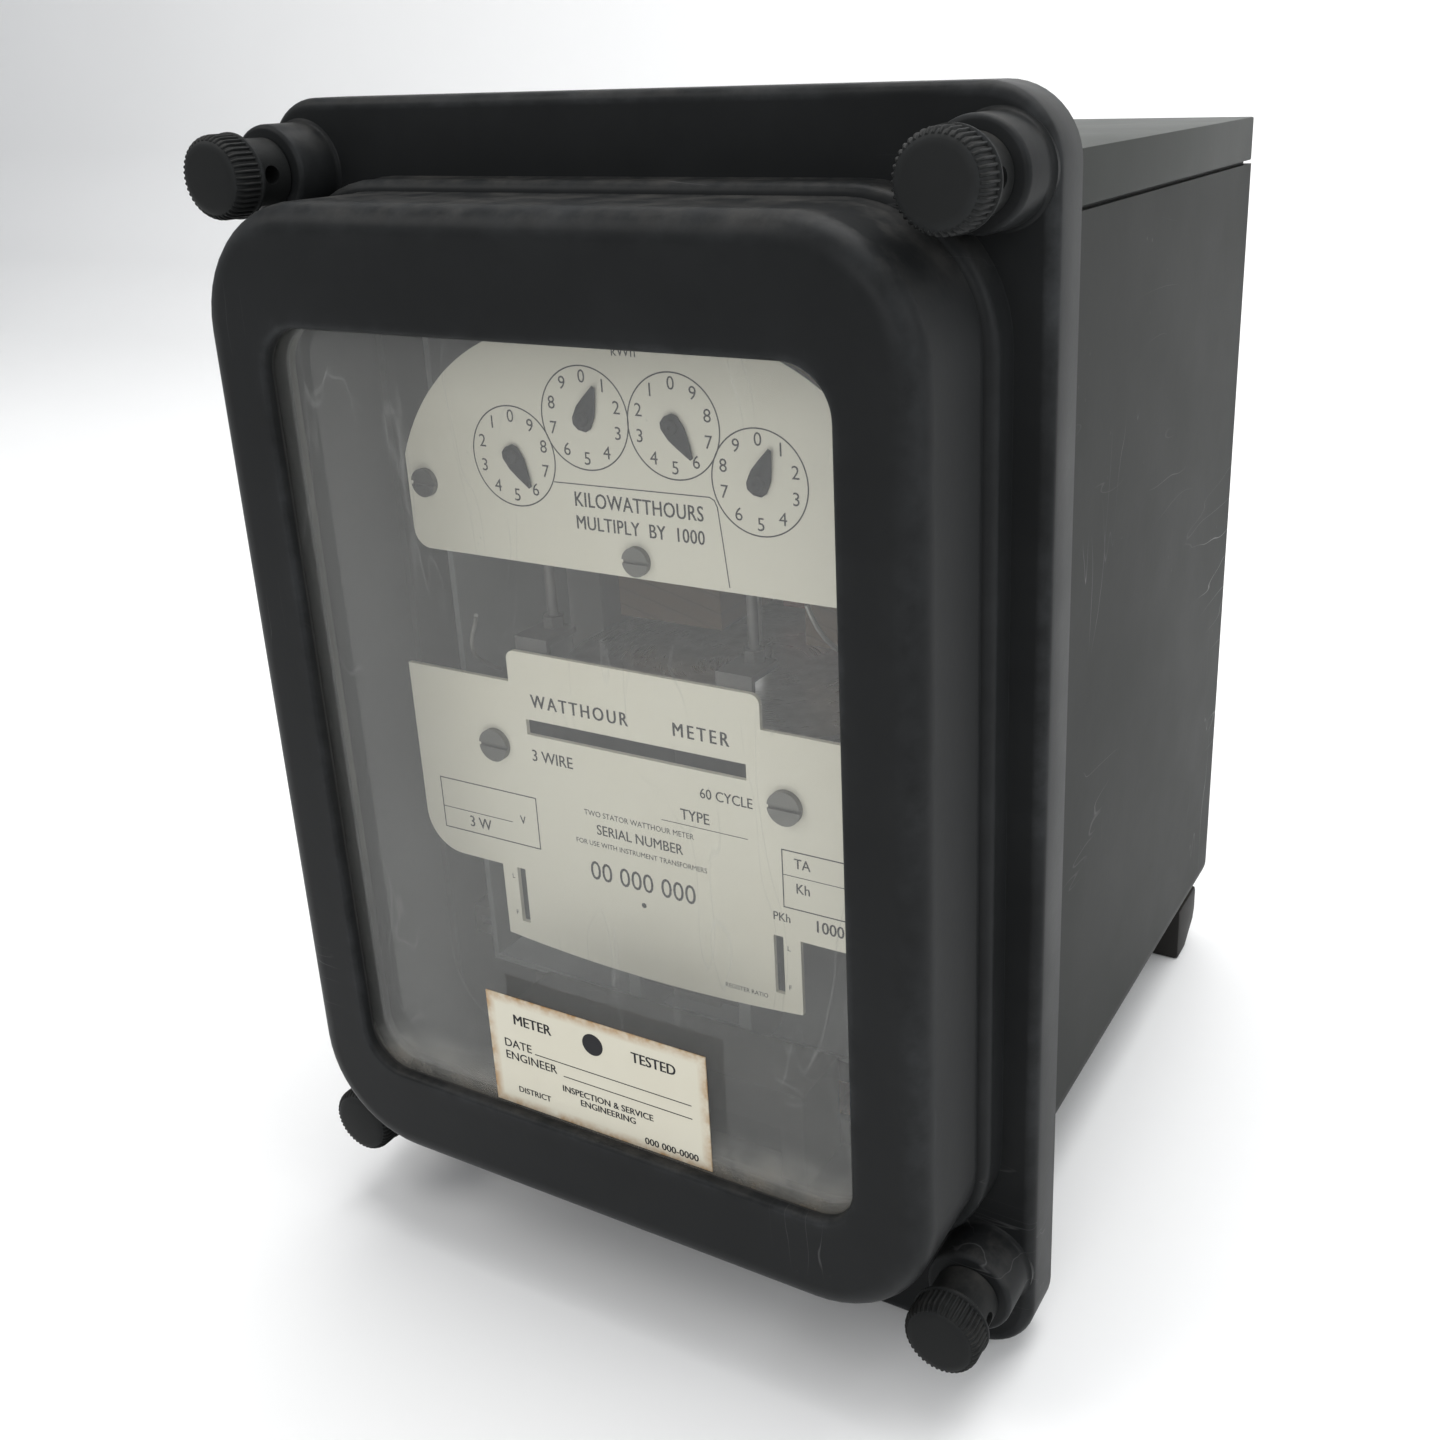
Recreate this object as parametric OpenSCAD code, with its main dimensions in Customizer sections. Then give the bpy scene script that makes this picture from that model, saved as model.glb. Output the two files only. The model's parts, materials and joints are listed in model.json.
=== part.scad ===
// Switchboard watthour meter in a drawout case: moulded cover with a window and
// four thumb knobs, steel case behind the panel, and a meter with two stators,
// a disk and a four-dial register on a cradle that pulls out of the front.
// Millimetres. X is to the right and Z up as seen from the front, Y goes back.
// Heights are measured from the surface the meter stands on, depths from the
// face of the panel that its flange is fastened to.

/* [Cover] */
// Width of the cover's flange
cover_w = 168; // [166:1:172]
// Height of the cover's flange
cover_h = 249; // [248:1:254]
// Thickness of the flange
flange_t = 12; // [11:0.5:13]
// Corner radius of the flange
flange_r = 13; // [10:1:14]
// Width of the raised bezel
bezel_w = 149.2; // [148.8:0.1:150]
// Height of the raised bezel
bezel_h = 205; // [204:0.5:206]
// Height of the bezel's lower edge
bezel_z = 27; // [26.5:0.5:27.5]
// How far the bezel stands in front of the panel
bezel_depth = 43.4; // [43:0.2:45]
// Corner radius of the bezel
bezel_r = 24; // [20:1:26]
// Wall thickness of the moulding
wall = 4.4; // [4:0.1:4.6]

/* [Window] */
// Width of the window opening
window_w = 119.4; // [117:0.1:120]
// Height of the window opening
window_h = 161.8; // [158:0.1:162]
// Height of the window's lower edge
window_z = 48; // [47.5:0.5:49]
// Corner radius of the window
window_r = 9; // [6:1:14]
// Thickness of the glass
glass_t = 3; // [2.8:0.1:3.1]

/* [Knobs] */
// Distance of each knob from the middle
knob_x = 74.1; // [73.5:0.1:74.3]
// Height of the lower knobs
knob_low = 22.2; // [21.5:0.1:22.5]
// Height of the upper knobs
knob_high = 235.6; // [235:0.1:236]
// Diameter of the fluted grip
knob_d = 15.6; // [14:0.2:16]
// Diameter of the boss under each knob
boss_d = 18; // [17:0.5:18]

/* [Case] */
// Width of the steel case
case_w = 141.5; // [141:0.5:142.5]
// Height of the steel case
case_h = 220; // [219:0.5:221]
// Height of the case's underside
case_z = 16.2; // [16:0.1:17]
// Depth of the case behind the panel
case_depth = 168.4; // [165:0.1:175]
// Thickness of the sheet steel
sheet = 1.6; // [1.2:0.1:1.8]
// Radius of the bends along the bottom
bend_r = 8; // [5:0.5:9]
// Height of the top cap's lips
cap_h = 10.5; // [9:0.5:12]
// Length of the terminal studs behind the case
stud_reach = 15.4; // [14:0.1:18]

/* [Rotor] */
// Diameter of the disk
disk_d = 90; // [84:1:92]
// Height of the disk's underside
disk_z = 125; // [124.6:0.1:125.4]
// Depth of the rotor's axis
shaft_y = 32; // [31:0.5:33]
// Pitch of the worm's thread
worm_lead = 1.5708; // [1.56:0.0001:1.58]
// Mean radius of the worm's thread
worm_r = 2; // [1.9:0.05:2.1]

/* [Register] */
// Distance of the outer dials from the middle
dial_outer_x = 28.2; // [28:0.1:28.4]
// Height of the outer dials
dial_outer_z = 181; // [180.8:0.1:181.2]
// Distance of the inner dials from the middle
dial_inner_x = 10.1; // [10:0.05:10.2]
// Height of the inner dials
dial_inner_z = 190; // [189.8:0.1:190.2]
// Depth of the dial plate's face in front of the panel
dial_face = 12.1; // [11.8:0.1:12.4]
// Depth of the nameplate's face in front of the panel
name_face = 18.8; // [18.4:0.1:19.2]

/* [Hidden] */
$fn = 64;

// the part's middle in depth lies halfway between the bezel and the studs' ends
panel_y = bezel_depth - (bezel_depth + case_depth + stud_reach) / 2;
clear = 0.4;                       // gap between pieces that slide past each other
run = 0.05;                        // radial clearance of a running fit
steel = "#3b3d3c";
phenolic = "#26282a";
plate_white = "#d9d8cb";
brass = "#b79a55";
copper = "#a5673f";
zinc = "#9c9d98";
aluminium = "#a9abab";

case_top = case_z + case_h;
seam_z = case_top - cap_h;
seam_gap = 0.8;
case_in_x = case_w / 2 - sheet;
flange_plate_t = 2.2;
flange_inset = 3;                  // the steel flange lies this far inside the cover's
pocket = 3.2;                      // depth of the cover's pocket for the steel flange
step_out = 2;                      // the low step round the bezel's root
step_depth = 19.5;
bezel_round = 5;                   // rounding of the bezel's front edge
cavity_face = bezel_depth - 6.4;   // the moulding's inner front face
glass_face = bezel_depth - 3.1;
glass_lap = 4;                     // how far the glass reaches behind the window's edge
retainer_t = 1.5;
gasket_t = 1;
label_t = 0.25;
screw_x = 76;                      // holes that fasten the flange to a panel
screw_low = 60;
screw_high = 190;
screw_r = 2.75;
screw_head_r = 4.4;
cover_stud_r = 2.5;
cover_stud_end = 33;
knob_face = 36.6;
knob_back = 30;
neck_d = 13.2;
boss_face = 22;
seal_y = 27;                       // depth of the hole for a sealing wire

cradle_x = 62.5;                   // outside of the cradle's side plates
cradle_front = 3;
cradle_back = 140;
cradle_z = 48;
cradle_top = 214;
cradle_t = 1.5;
tongue_z = 56;                     // the cradle's tongues run in the guide rails
tongue_x = 66.8;
block_x = 52;
contact_count = 8;
contact_pitch = 9;
blade_z = 35;
blade_t = 3;
plug_x = 38;
plug_z = 33.5;
plug_top = 56.5;
plug_front = 22;
plug_rear = 6;
latch_y = -2;
latch_high = 221;
latch_low = 62;
pin_r = 1.5;

plate_back_y = 84;                 // the meter frame's upright plate
disk_t = 1;
shaft_r = 1;
shaft_low = 100;
shaft_top = 194;
pole_low = 122.5;                  // the air gap that the disk turns in
pole_high = 129;
core_front = 40;
core_rear = 58;

gear_teeth = 80;
pinion_teeth = 8;
wheel_teeth = 50;
spindle_r = 0.9;
spindle_front = 12.6;
plate_front_y = -8.4;              // front faces of the register's two plates
plate_rear_y = 6;
layer_y = [-6, -3, 0, 3];          // one layer of wheels for each stage
wheel_t = 1;
pinion_t = 1.8;
addendum = 0.34;
dedendum = 0.44;
dial_at = [                        // thousands, hundreds, tens, units
  [-dial_outer_x, dial_outer_z], [-dial_inner_x, dial_inner_z],
  [dial_inner_x, dial_inner_z], [dial_outer_x, dial_outer_z],
];
reading = [146, 26, 144, 23];      // each pointer's turn from the top, clockwise
post_at = [[-52, 173.5], [0, 162.7], [52, 173.5]];
rod_at_x = 24;                     // the two rods that carry the nameplate
rod_y = -9.75;
name_screw = [35, 120];
stage = norm(dial_at[0] - dial_at[1]);
gear_pitch_r = stage * gear_teeth / (gear_teeth + pinion_teeth);
pinion_pitch_r = stage - gear_pitch_r;
wheel_pitch_r = wheel_teeth * worm_lead / (2 * PI);
wheel_x = wheel_pitch_r + worm_r;
wheel_at = [wheel_x, dial_outer_z - sqrt(stage * stage - pow(dial_outer_x - wheel_x, 2))];
worm_throw = 0.45;
worm_turns = 3;

function angle_to(a, b) = atan2(b[1] - a[1], b[0] - a[0]);

// a wheel's outline: each tooth has a root and a tip, with the given half widths
function wheel_outline(n, r_root, r_tip, root_half, tip_half, start) = [
  for (i = [0 : n - 1]) let (a = start + i * 360 / n) each [
    r_root * [cos(a - root_half), sin(a - root_half)],
    r_tip * [cos(a - tip_half), sin(a - tip_half)],
    r_tip * [cos(a + tip_half), sin(a + tip_half)],
    r_root * [cos(a + root_half), sin(a + root_half)],
  ]
];

module behind_panel() { translate([0, panel_y, 0]) children(); }

// a flat outline drawn in x and z, made solid from depth y0 to depth y1
module slab(y0, y1) {
  translate([0, y1, 0]) rotate([90, 0, 0]) linear_extrude(y1 - y0) children();
}

module round_rect(w, h, r) {
  square([w, h - 2 * r], center = true);
  square([w - 2 * r, h], center = true);
  for (x = [-1, 1], y = [-1, 1]) translate([x * (w / 2 - r), y * (h / 2 - r)]) circle(r);
}

module box(low, high) { translate(low) cube(high - low); }

// a rod along Y
module rod(x, z, r, y0, y1) {
  translate([x, y0, z]) rotate([-90, 0, 0]) cylinder(r = r, h = y1 - y0);
}

// a pin or hole along X, as long on both sides of the middle
module rod_x(y, z, r, half) {
  translate([-half, y, z]) rotate([0, 90, 0]) cylinder(r = r, h = 2 * half);
}

module mirror_x() {
  children();
  mirror([1, 0, 0]) children();
}

module at_knobs() {
  for (x = [-knob_x, knob_x], z = [knob_low, knob_high]) translate([x, 0, z]) children();
}

module flange_outline() {
  translate([0, cover_h / 2]) round_rect(cover_w, cover_h, flange_r);
}

module bezel_outline(out) {
  translate([0, bezel_z + bezel_h / 2])
    round_rect(bezel_w + 2 * out, bezel_h + 2 * out, bezel_r + out);
}

module window_outline(out) {
  translate([0, window_z + window_h / 2])
    round_rect(window_w + 2 * out, window_h + 2 * out, window_r + out);
}

module flange_plate_outline(play) {
  inset = flange_inset - play;
  translate([0, cover_h / 2])
    round_rect(cover_w - 2 * inset, cover_h - 2 * inset, flange_r - inset);
}

module case_outline() {
  u_outline(0);
  translate([-case_w / 2, case_z + bend_r]) square([case_w, case_h - bend_r]);
}

// ---- case --------------------------------------------------------------

module mounting_flange() {
  color(steel) behind_panel() difference() {
    slab(-flange_plate_t, 0) difference() {
      flange_plate_outline(0);
      case_outline();
    }
    for (x = [-screw_x, screw_x], z = [screw_low, screw_high])
      rod(x, z, screw_r, -flange_plate_t - 1, 1);
  }
}

module u_outline(inset) {
  r = bend_r - inset;
  half = case_w / 2 - inset;
  low = case_z + inset;
  translate([-half, low + r]) square([2 * half, seam_z - seam_gap - low - r]);
  translate([-half + r, low]) square([2 * (half - r), r]);
  for (x = [-1, 1]) translate([x * (half - r), low + r]) circle(r);
}

module case_wrapper() {
  lap_t = 1.7;
  color(steel) behind_panel() {
    slab(-flange_plate_t, case_depth) difference() {
      u_outline(0);
      u_outline(sheet);
      translate([-case_in_x, seam_z - 20]) square([2 * case_in_x, 40]);
    }
    mirror_x() box([case_in_x - lap_t, 2, 205],
                   [case_in_x, case_depth - sheet - 0.1, case_top - sheet - 1]);
  }
}

module case_top_cap() {
  color(steel) behind_panel() difference() {
    box([-case_w / 2, -flange_plate_t, seam_z], [case_w / 2, case_depth, case_top]);
    box([-case_in_x, -flange_plate_t - 1, seam_z - 1], [case_in_x, case_depth - sheet, case_top - sheet]);
  }
}

module case_back_plate() {
  lip = case_in_x - 2.5;
  color(steel) behind_panel() difference() {
    union() {
      slab(case_depth - sheet, case_depth) u_outline(sheet);
      box([-lip, case_depth - 3.2, 210], [lip, case_depth - sheet, case_top - sheet - 1]);
    }
    box([-block_x - 1, case_depth - sheet - 1, 25], [block_x + 1, case_depth + 1, 61]);
  }
}

module rear_feet() {
  foot_w = 13;
  profile = [[149, case_z], [149, 0], [157, 0], [165, 5.5], [166.5, 9], [166.5, case_z]];
  color(phenolic) behind_panel() mirror_x()
    translate([case_w / 2 - 1.8 - foot_w, 0, 0]) rotate([90, 0, 90])
      linear_extrude(foot_w) polygon(profile);
}

module cover_studs() {
  color(zinc) behind_panel() at_knobs() difference() {
    rod(0, 0, cover_stud_r, -cover_stud_end, -flange_plate_t);
    rod_x(-seal_y, 0, 1.1, 5);
  }
}

module guide_rails() {
  slot = tongue_z + cradle_t;
  color(zinc) behind_panel() mirror_x() difference() {
    box([63.4, 5, tongue_z - 3], [case_in_x, 150, slot + 3]);
    box([63, 4, tongue_z - clear], [tongue_x + clear, 151, slot + clear]);
  }
}

module case_contact_block() {
  color(phenolic) behind_panel() box([-block_x, 6, case_z + sheet], [block_x, 30, 30]);
}

module at_contacts() {
  for (i = [0 : contact_count - 1])
    translate([(i - (contact_count - 1) / 2) * contact_pitch, 0, 0]) children();
}

module contact_fingers() {
  color(copper) behind_panel() at_contacts() {
    box([-2, 8, 30], [2, 26, 31]);
    box([-2, 24, 31], [2, 26, 33.4]);
    box([-2, 9, 33.4], [2, 26, 34.4]);
  }
}

module lead_straps() {
  color(copper) behind_panel() at_contacts()
    box([-2.5, 30, 19.5], [2.5, 158, 20.7]);
}

module terminal_block() {
  color(phenolic) behind_panel() {
    box([-block_x, 158, case_z + sheet], [block_x, case_depth - sheet, 66]);
    box([-block_x, case_depth - sheet, 26], [block_x, case_depth + 5.6, 60]);
  }
}

module at_terminals() {
  for (x = [-40 : 20 : 40], z = [33, 53]) translate([x, 0, z]) children();
}

module terminal_studs() {
  color(brass) behind_panel() at_terminals() {
    rod(0, 0, 2.4, case_depth + 5.6, case_depth + 9.6);
    rod(0, 0, 2.2, case_depth + 9.6, case_depth + stud_reach);
  }
}

module terminal_nuts() {
  color(zinc) behind_panel() at_terminals() difference() {
    translate([0, case_depth + 9.6, 0]) rotate([90, 0, 0]) cylinder(r = 5, h = 4, $fn = 6);
    rod(0, 0, 2.4, case_depth + 5, case_depth + 11);
  }
}

// ---- cradle and meter --------------------------------------------------

module cradle_frame() {
  color(zinc) behind_panel() {
    mirror_x() {
      box([cradle_x - cradle_t, cradle_front, cradle_z], [cradle_x, cradle_back, cradle_top]);
      box([cradle_x, 6, tongue_z], [tongue_x, cradle_back, tongue_z + cradle_t]);
      box([13, latch_y - 3, latch_high - 10], [16, 8, latch_high + 3]);
      box([13, latch_y - 3, cradle_z], [16, 8, latch_low + 3]);
    }
    box([-cradle_x, cradle_front, cradle_z], [cradle_x, cradle_back, cradle_z + cradle_t]);
    box([-cradle_x, cradle_front, cradle_top - 3], [cradle_x, 8, cradle_top]);
    box([-cradle_x, cradle_back - 6, cradle_top - 14], [cradle_x, cradle_back, cradle_top]);
    rod_x(latch_y, latch_high, pin_r, 14);
    rod_x(latch_y, latch_low, pin_r, 14);
  }
}

module cradle_contact_block() {
  color(phenolic) behind_panel() box([-block_x, 5, 41], [block_x, 28, cradle_z]);
}

module cradle_contacts() {
  color(copper) behind_panel() at_contacts() box([-2, 8, blade_z + blade_t + clear], [2, 24, 41]);
}

// a lever on its pin, with a finger plate on one side and a toe on the other
module latch(z, side) {
  finger = side > 0 ? [z, z + 10] : [z - 9.5, z];
  toe = side > 0 ? [z - 5.5, z] : [z, z + 5.5];
  color(zinc) behind_panel() difference() {
    union() {
      rod_x(latch_y, z, 3, 12.5);
      box([-10, latch_y - 3, finger[0]], [10, latch_y - 1.2, finger[1]]);
      box([-6, latch_y, toe[0]], [6, latch_y + 3, toe[1]]);
    }
    rod_x(latch_y, z, pin_r + run, 13);
  }
}

module latch_upper() { latch(latch_high, -1); }

module latch_lower() { latch(latch_low, 1); }

module meter_frame() {
  arm_z = shaft_top + 2;
  color(zinc) behind_panel() difference() {
    union() {
      box([-cradle_x + cradle_t, plate_back_y, cradle_z + cradle_t],
          [cradle_x - cradle_t, plate_back_y + 3, 200]);
      box([-5, shaft_y - 7, arm_z], [5, plate_back_y, 200]);
      box([-5, shaft_y - 7, 90], [5, plate_back_y, 94]);
      box([wheel_x - 4, 37, wheel_at[1] - 3], [wheel_x + 4, plate_back_y, wheel_at[1] + 3]);
      mirror_x() {
        box([40, plate_rear_y + 1.5, 188], [48, plate_back_y, 194]);
        box([50, core_rear, 105], [58, plate_back_y, 111]);
        box([50, core_rear, 152], [58, plate_back_y, 158]);
      }
    }
    rod(wheel_at[0], wheel_at[1], spindle_r + run, 36, 43);
  }
}

module upper_bearing() {
  color(brass) behind_panel() translate([0, shaft_y, 0]) difference() {
    translate([0, 0, shaft_top - 4]) cylinder(r = 3.5, h = 6);
    translate([0, 0, shaft_top - 5]) cylinder(r = shaft_r + run, h = 5.4);
  }
}

module lower_bearing() {
  color(brass) behind_panel() translate([0, shaft_y, 0]) difference() {
    translate([0, 0, 94]) cylinder(r = 4, h = shaft_low - 90);
    translate([0, 0, shaft_low - 0.3]) cylinder(r = shaft_r + run, h = 6);
  }
}

module brake_magnets() {
  color("#7d2f28") behind_panel() {
    box([-9.5, 79, pole_low - 10], [9.5, plate_back_y, pole_high + 10]);
    box([-9.5, 60, pole_low - 10], [9.5, 79, pole_low]);
    box([-9.5, 60, pole_high], [9.5, 79, pole_high + 10]);
  }
}

// laminations: a yoke round the disk's edge, one pole above it and two below
module stator_core_right() {
  color("#5b5a57") behind_panel() slab(core_front, core_rear) {
    translate([49, 104]) square([10, 56]);
    translate([18, 150]) square([31, 10]);
    translate([18, pole_high]) square([14, 150 - pole_high]);
    translate([14, 104]) square([35, 8]);
    translate([16, 112]) square([7, pole_low - 112]);
    translate([33, 112]) square([7, pole_low - 112]);
  }
}

module stator_core_left() { mirror([1, 0, 0]) stator_core_right(); }

module voltage_coil_right() {
  color(copper) behind_panel() difference() {
    box([11, 34, 131], [39, 64, 149]);
    box([18, core_front, 130], [32, core_rear, 150]);
  }
}

module voltage_coil_left() { mirror([1, 0, 0]) voltage_coil_right(); }

module current_coil_right() {
  color(copper) behind_panel() for (x = [16, 33]) difference() {
    box([x - 4, 35, 112.5], [x + 11, 63, 120.5]);
    box([x, core_front, 111], [x + 7, core_rear, 122]);
  }
}

module current_coil_left() { mirror([1, 0, 0]) current_coil_right(); }

// ---- register ----------------------------------------------------------

module register_outline() {
  intersection() {
    translate([0, 159 + 60]) round_rect(114, 120, 4);
    union() {
      for (x = [-16, 16]) translate([x, 163]) circle(44);
      translate([-16, 163]) square([32, 44]);
      translate([-57, 158]) square([114, 5]);
    }
  }
}

module register_plate_blank(front, thick, post_r, spindle_hole_r) {
  difference() {
    slab(front, front + thick) register_outline();
    for (p = post_at) rod(p[0], p[1], post_r, front - 1, front + thick + 1);
    for (p = dial_at) rod(p[0], p[1], spindle_hole_r, front - 1, front + thick + 1);
  }
}

module register_front_plate() {
  color(brass) behind_panel() register_plate_blank(plate_front_y, 1, 2, spindle_r + run);
}

module register_back_plate() {
  color(brass) behind_panel() difference() {
    slab(plate_rear_y, plate_rear_y + 1.5) register_outline();
    for (p = dial_at) rod(p[0], p[1], spindle_r + run, 5, 8);
    rod(wheel_at[0], wheel_at[1], spindle_r + run, 5, 8);
  }
}

module register_posts() {
  color(brass) behind_panel() for (p = post_at) difference() {
    union() {
      rod(p[0], p[1], 3, plate_front_y + 1, plate_rear_y);
      rod(p[0], p[1], 2, 1 - dial_face, plate_front_y + 1);
    }
    rod(p[0], p[1], 1.2, -dial_face, -5);
  }
}

module dial_plate() {
  color(plate_white) behind_panel() register_plate_blank(-dial_face, 1, 1.3, 1.6);
}

module dial_plate_screws() {
  color(zinc) behind_panel() for (p = post_at) difference() {
    union() {
      rod(p[0], p[1], 3, -dial_face - 1.3, -dial_face);
      rod(p[0], p[1], 1.2, -dial_face, -5);
    }
    box([p[0] - 3.5, -dial_face - 2, p[1] - 0.4], [p[0] + 3.5, -dial_face - 0.7, p[1] + 0.4]);
  }
}

module nameplate_outline() {
  difference() {
    union() {
      translate([0, 113]) round_rect(114, 44, 9);
      translate([-57, 115]) square([114, 20]);
      translate([0, 130]) round_rect(60, 24, 2);
      translate([-37, 74]) square([74, 25]);
      intersection() {
        translate([0, 416.2]) circle(344.2, $fn = 240);
        translate([-37, 71]) square([74, 5]);
      }
    }
    translate([-26.4, 123.7]) square([52.8, 3.5]);
    for (x = [-1, 1]) {
      translate([x * 32 - 1.1, 77.7]) square([2.2, 13.3]);
      translate([x * name_screw[0], name_screw[1]]) circle(1.6);
    }
  }
}

module nameplate() {
  color(plate_white) behind_panel() slab(-name_face, 1 - name_face) nameplate_outline();
}

module nameplate_bracket() {
  back = 1 - name_face;
  color(zinc) behind_panel() mirror_x() {
    translate([rod_at_x, rod_y, 145]) cylinder(r = 1.1, h = 22);
    translate([rod_at_x, rod_y, 145]) cylinder(r = 2.3, h = 2.4, $fn = 6);
    box([rod_at_x - 4, back, 143.5], [rod_at_x + 4, rod_y + 2, 145]);
    box([rod_at_x - 4, back, 134], [rod_at_x + 4, back + 1.2, 143.5]);
    box([rod_at_x - 4, back, 128.5], [41, back + 1.2, 134]);
    difference() {
      box([31, back, 112], [41, back + 1.2, 128.5]);
      rod(name_screw[0], name_screw[1], 1.5, back - 1, back + 3);
    }
  }
}

module nameplate_screws() {
  color(zinc) behind_panel() mirror_x() difference() {
    rod(name_screw[0], name_screw[1], 3.6, -name_face - 1.3, -name_face);
    box([name_screw[0] - 4, -name_face - 2, name_screw[1] - 0.4],
        [name_screw[0] + 4, -name_face - 0.7, name_screw[1] + 0.4]);
  }
}

// ---- rotor and wheels --------------------------------------------------

module rotor_shaft() {
  color(steel) behind_panel() translate([0, shaft_y, shaft_low])
    cylinder(r = shaft_r, h = shaft_top - shaft_low);
}

module rotor_disk() {
  color(aluminium) behind_panel() translate([0, shaft_y, disk_z]) difference() {
    union() {
      cylinder(r = disk_d / 2, h = disk_t, $fn = 128);
      translate([0, 0, -2]) cylinder(r = 3, h = 8);
    }
    translate([0, 0, -3]) cylinder(r = shaft_r, h = 12);
    for (y = [-1, 1]) translate([0, y * 30, -1]) cylinder(r = 2.5, h = 4);
  }
}

module rotor_worm() {
  height = worm_turns * worm_lead;
  color(brass) behind_panel() translate([0, shaft_y, wheel_at[1] - height / 2]) difference() {
    linear_extrude(height, twist = -360 * worm_turns, slices = 12 * worm_turns)
      rotate(180 - 180 * worm_turns) translate([worm_throw, 0]) circle(worm_r, $fn = 16);
    translate([0, 0, -1]) cylinder(r = shaft_r, h = height + 2, $fn = 24);
  }
}

module gear(at, toward, y) {
  slab(y - wheel_t / 2, y + wheel_t / 2) translate(at)
    polygon(wheel_outline(gear_teeth, gear_pitch_r - dedendum, gear_pitch_r + addendum,
                          1.35, 0.5, angle_to(at, toward)));
}

module pinion(at, from, y) {
  slab(y - pinion_t / 2, y + pinion_t / 2) translate(at)
    polygon(wheel_outline(pinion_teeth, pinion_pitch_r - dedendum, pinion_pitch_r + addendum,
                          13, 5, angle_to(at, from) + 180 / pinion_teeth));
}

module worm_wheel() {
  color(brass) behind_panel() {
    slab(shaft_y - 0.8, shaft_y + 0.8) translate(wheel_at)
      polygon(wheel_outline(wheel_teeth, wheel_pitch_r - 0.5, wheel_pitch_r + 0.2,
                            1.6, 0.6, 180));
    rod(wheel_at[0], wheel_at[1], spindle_r, 2, 40);
    pinion(wheel_at, dial_at[3], layer_y[3]);
  }
}

module spindle(i) {
  at = dial_at[i];
  color(brass) behind_panel() {
    rod(at[0], at[1], spindle_r, -spindle_front, plate_rear_y + 1.3);
    gear(at, i < 3 ? dial_at[i + 1] : wheel_at, layer_y[i]);
    if (i > 0) pinion(at, dial_at[i - 1], layer_y[i - 1]);
  }
}

module thousands_spindle() { spindle(0); }

module hundreds_spindle() { spindle(1); }

module tens_spindle() { spindle(2); }

module units_spindle() { spindle(3); }

module pointer(i) {
  kite = [[-2.1, -0.6], [-2.2, 1.5], [0, 7.3], [2.2, 1.5], [2.1, -0.6]];
  at = dial_at[i];
  color(steel) behind_panel() {
    rod(at[0], at[1], 1.5, -spindle_front - 1.2, -spindle_front);
    slab(-spindle_front - 0.8, -spindle_front - 0.3) translate(at) rotate(-reading[i]) {
      polygon(kite);
      circle(2.2);
    }
  }
}

module thousands_pointer() { pointer(0); }

module hundreds_pointer() { pointer(1); }

module tens_pointer() { pointer(2); }

module units_pointer() { pointer(3); }

// ---- connection plug ---------------------------------------------------

module plug_body() {
  color(phenolic) behind_panel() difference() {
    box([-plug_x, -plug_front, plug_z], [plug_x, -plug_rear, plug_top]);
    box([-plug_x + 6, -plug_front - 1, plug_z - 1], [plug_x - 6, -plug_front + 8, plug_top - 10]);
  }
}

module plug_blades() {
  color(copper) behind_panel() at_contacts()
    box([-2, -plug_rear, blade_z], [2, 22, blade_z + blade_t]);
}

// ---- cover -------------------------------------------------------------

// the bezel's section from the middle of a corner outwards, its front edge rounded
module bezel_section() {
  deep = bezel_depth - flange_t;
  square([bezel_r - bezel_round, deep]);
  square([bezel_r, deep - bezel_round]);
  translate([bezel_r - bezel_round, deep - bezel_round]) circle(bezel_round);
}

// the raised bezel: a core, and at each corner a quarter turn with the edge after it
module bezel_block() {
  x = bezel_w / 2 - bezel_r;
  low = bezel_z + bezel_r;
  high = bezel_z + bezel_h - bezel_r;
  corners = [[x, high], [-x, high], [-x, low], [x, low]];
  box([-x, -bezel_depth, low], [x, -flange_t, high]);
  for (k = [0 : 3]) translate([corners[k][0], -flange_t, corners[k][1]])
    rotate([0, -90 * k, 0]) {
      rotate([90, 0, 0]) rotate_extrude(angle = 90) bezel_section();
      rotate([180, 0, 0]) linear_extrude(k % 2 == 0 ? high - low : 2 * x) bezel_section();
    }
}

module cover_shell() {
  seat = glass_face + gasket_t;
  color(phenolic) behind_panel() difference() {
    union() {
      slab(-flange_t, 0) flange_outline();
      slab(-step_depth, -flange_t) bezel_outline(step_out);
      bezel_block();
      at_knobs() rod(0, 0, boss_d / 2, -boss_face, -flange_t);
    }
    slab(-cavity_face, 1) bezel_outline(-wall);
    slab(-bezel_depth - 1, -cavity_face + 1) window_outline(0);
    slab(-seat, -cavity_face + 1) window_outline(glass_lap + 0.3);
    slab(-pocket, 1) flange_plate_outline(0.5);
    at_knobs() rod(0, 0, cover_stud_r + clear, -boss_face - 1, 1);
    for (x = [-screw_x, screw_x], z = [screw_low, screw_high])
      rod(x, z, screw_head_r, -7, 1);
  }
}

module window_glass() {
  color("#9fb0b0", 0.4) behind_panel() slab(-glass_face, glass_t - glass_face)
    window_outline(glass_lap);
}

module glass_gasket() {
  color("#2b2b2b") behind_panel() slab(-glass_face - gasket_t, -glass_face) difference() {
    window_outline(glass_lap);
    window_outline(0.6);
  }
}

module glass_retainer() {
  color(steel) behind_panel() slab(-cavity_face, retainer_t - cavity_face) difference() {
    window_outline(glass_lap + 3);
    window_outline(0);
  }
}

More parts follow.
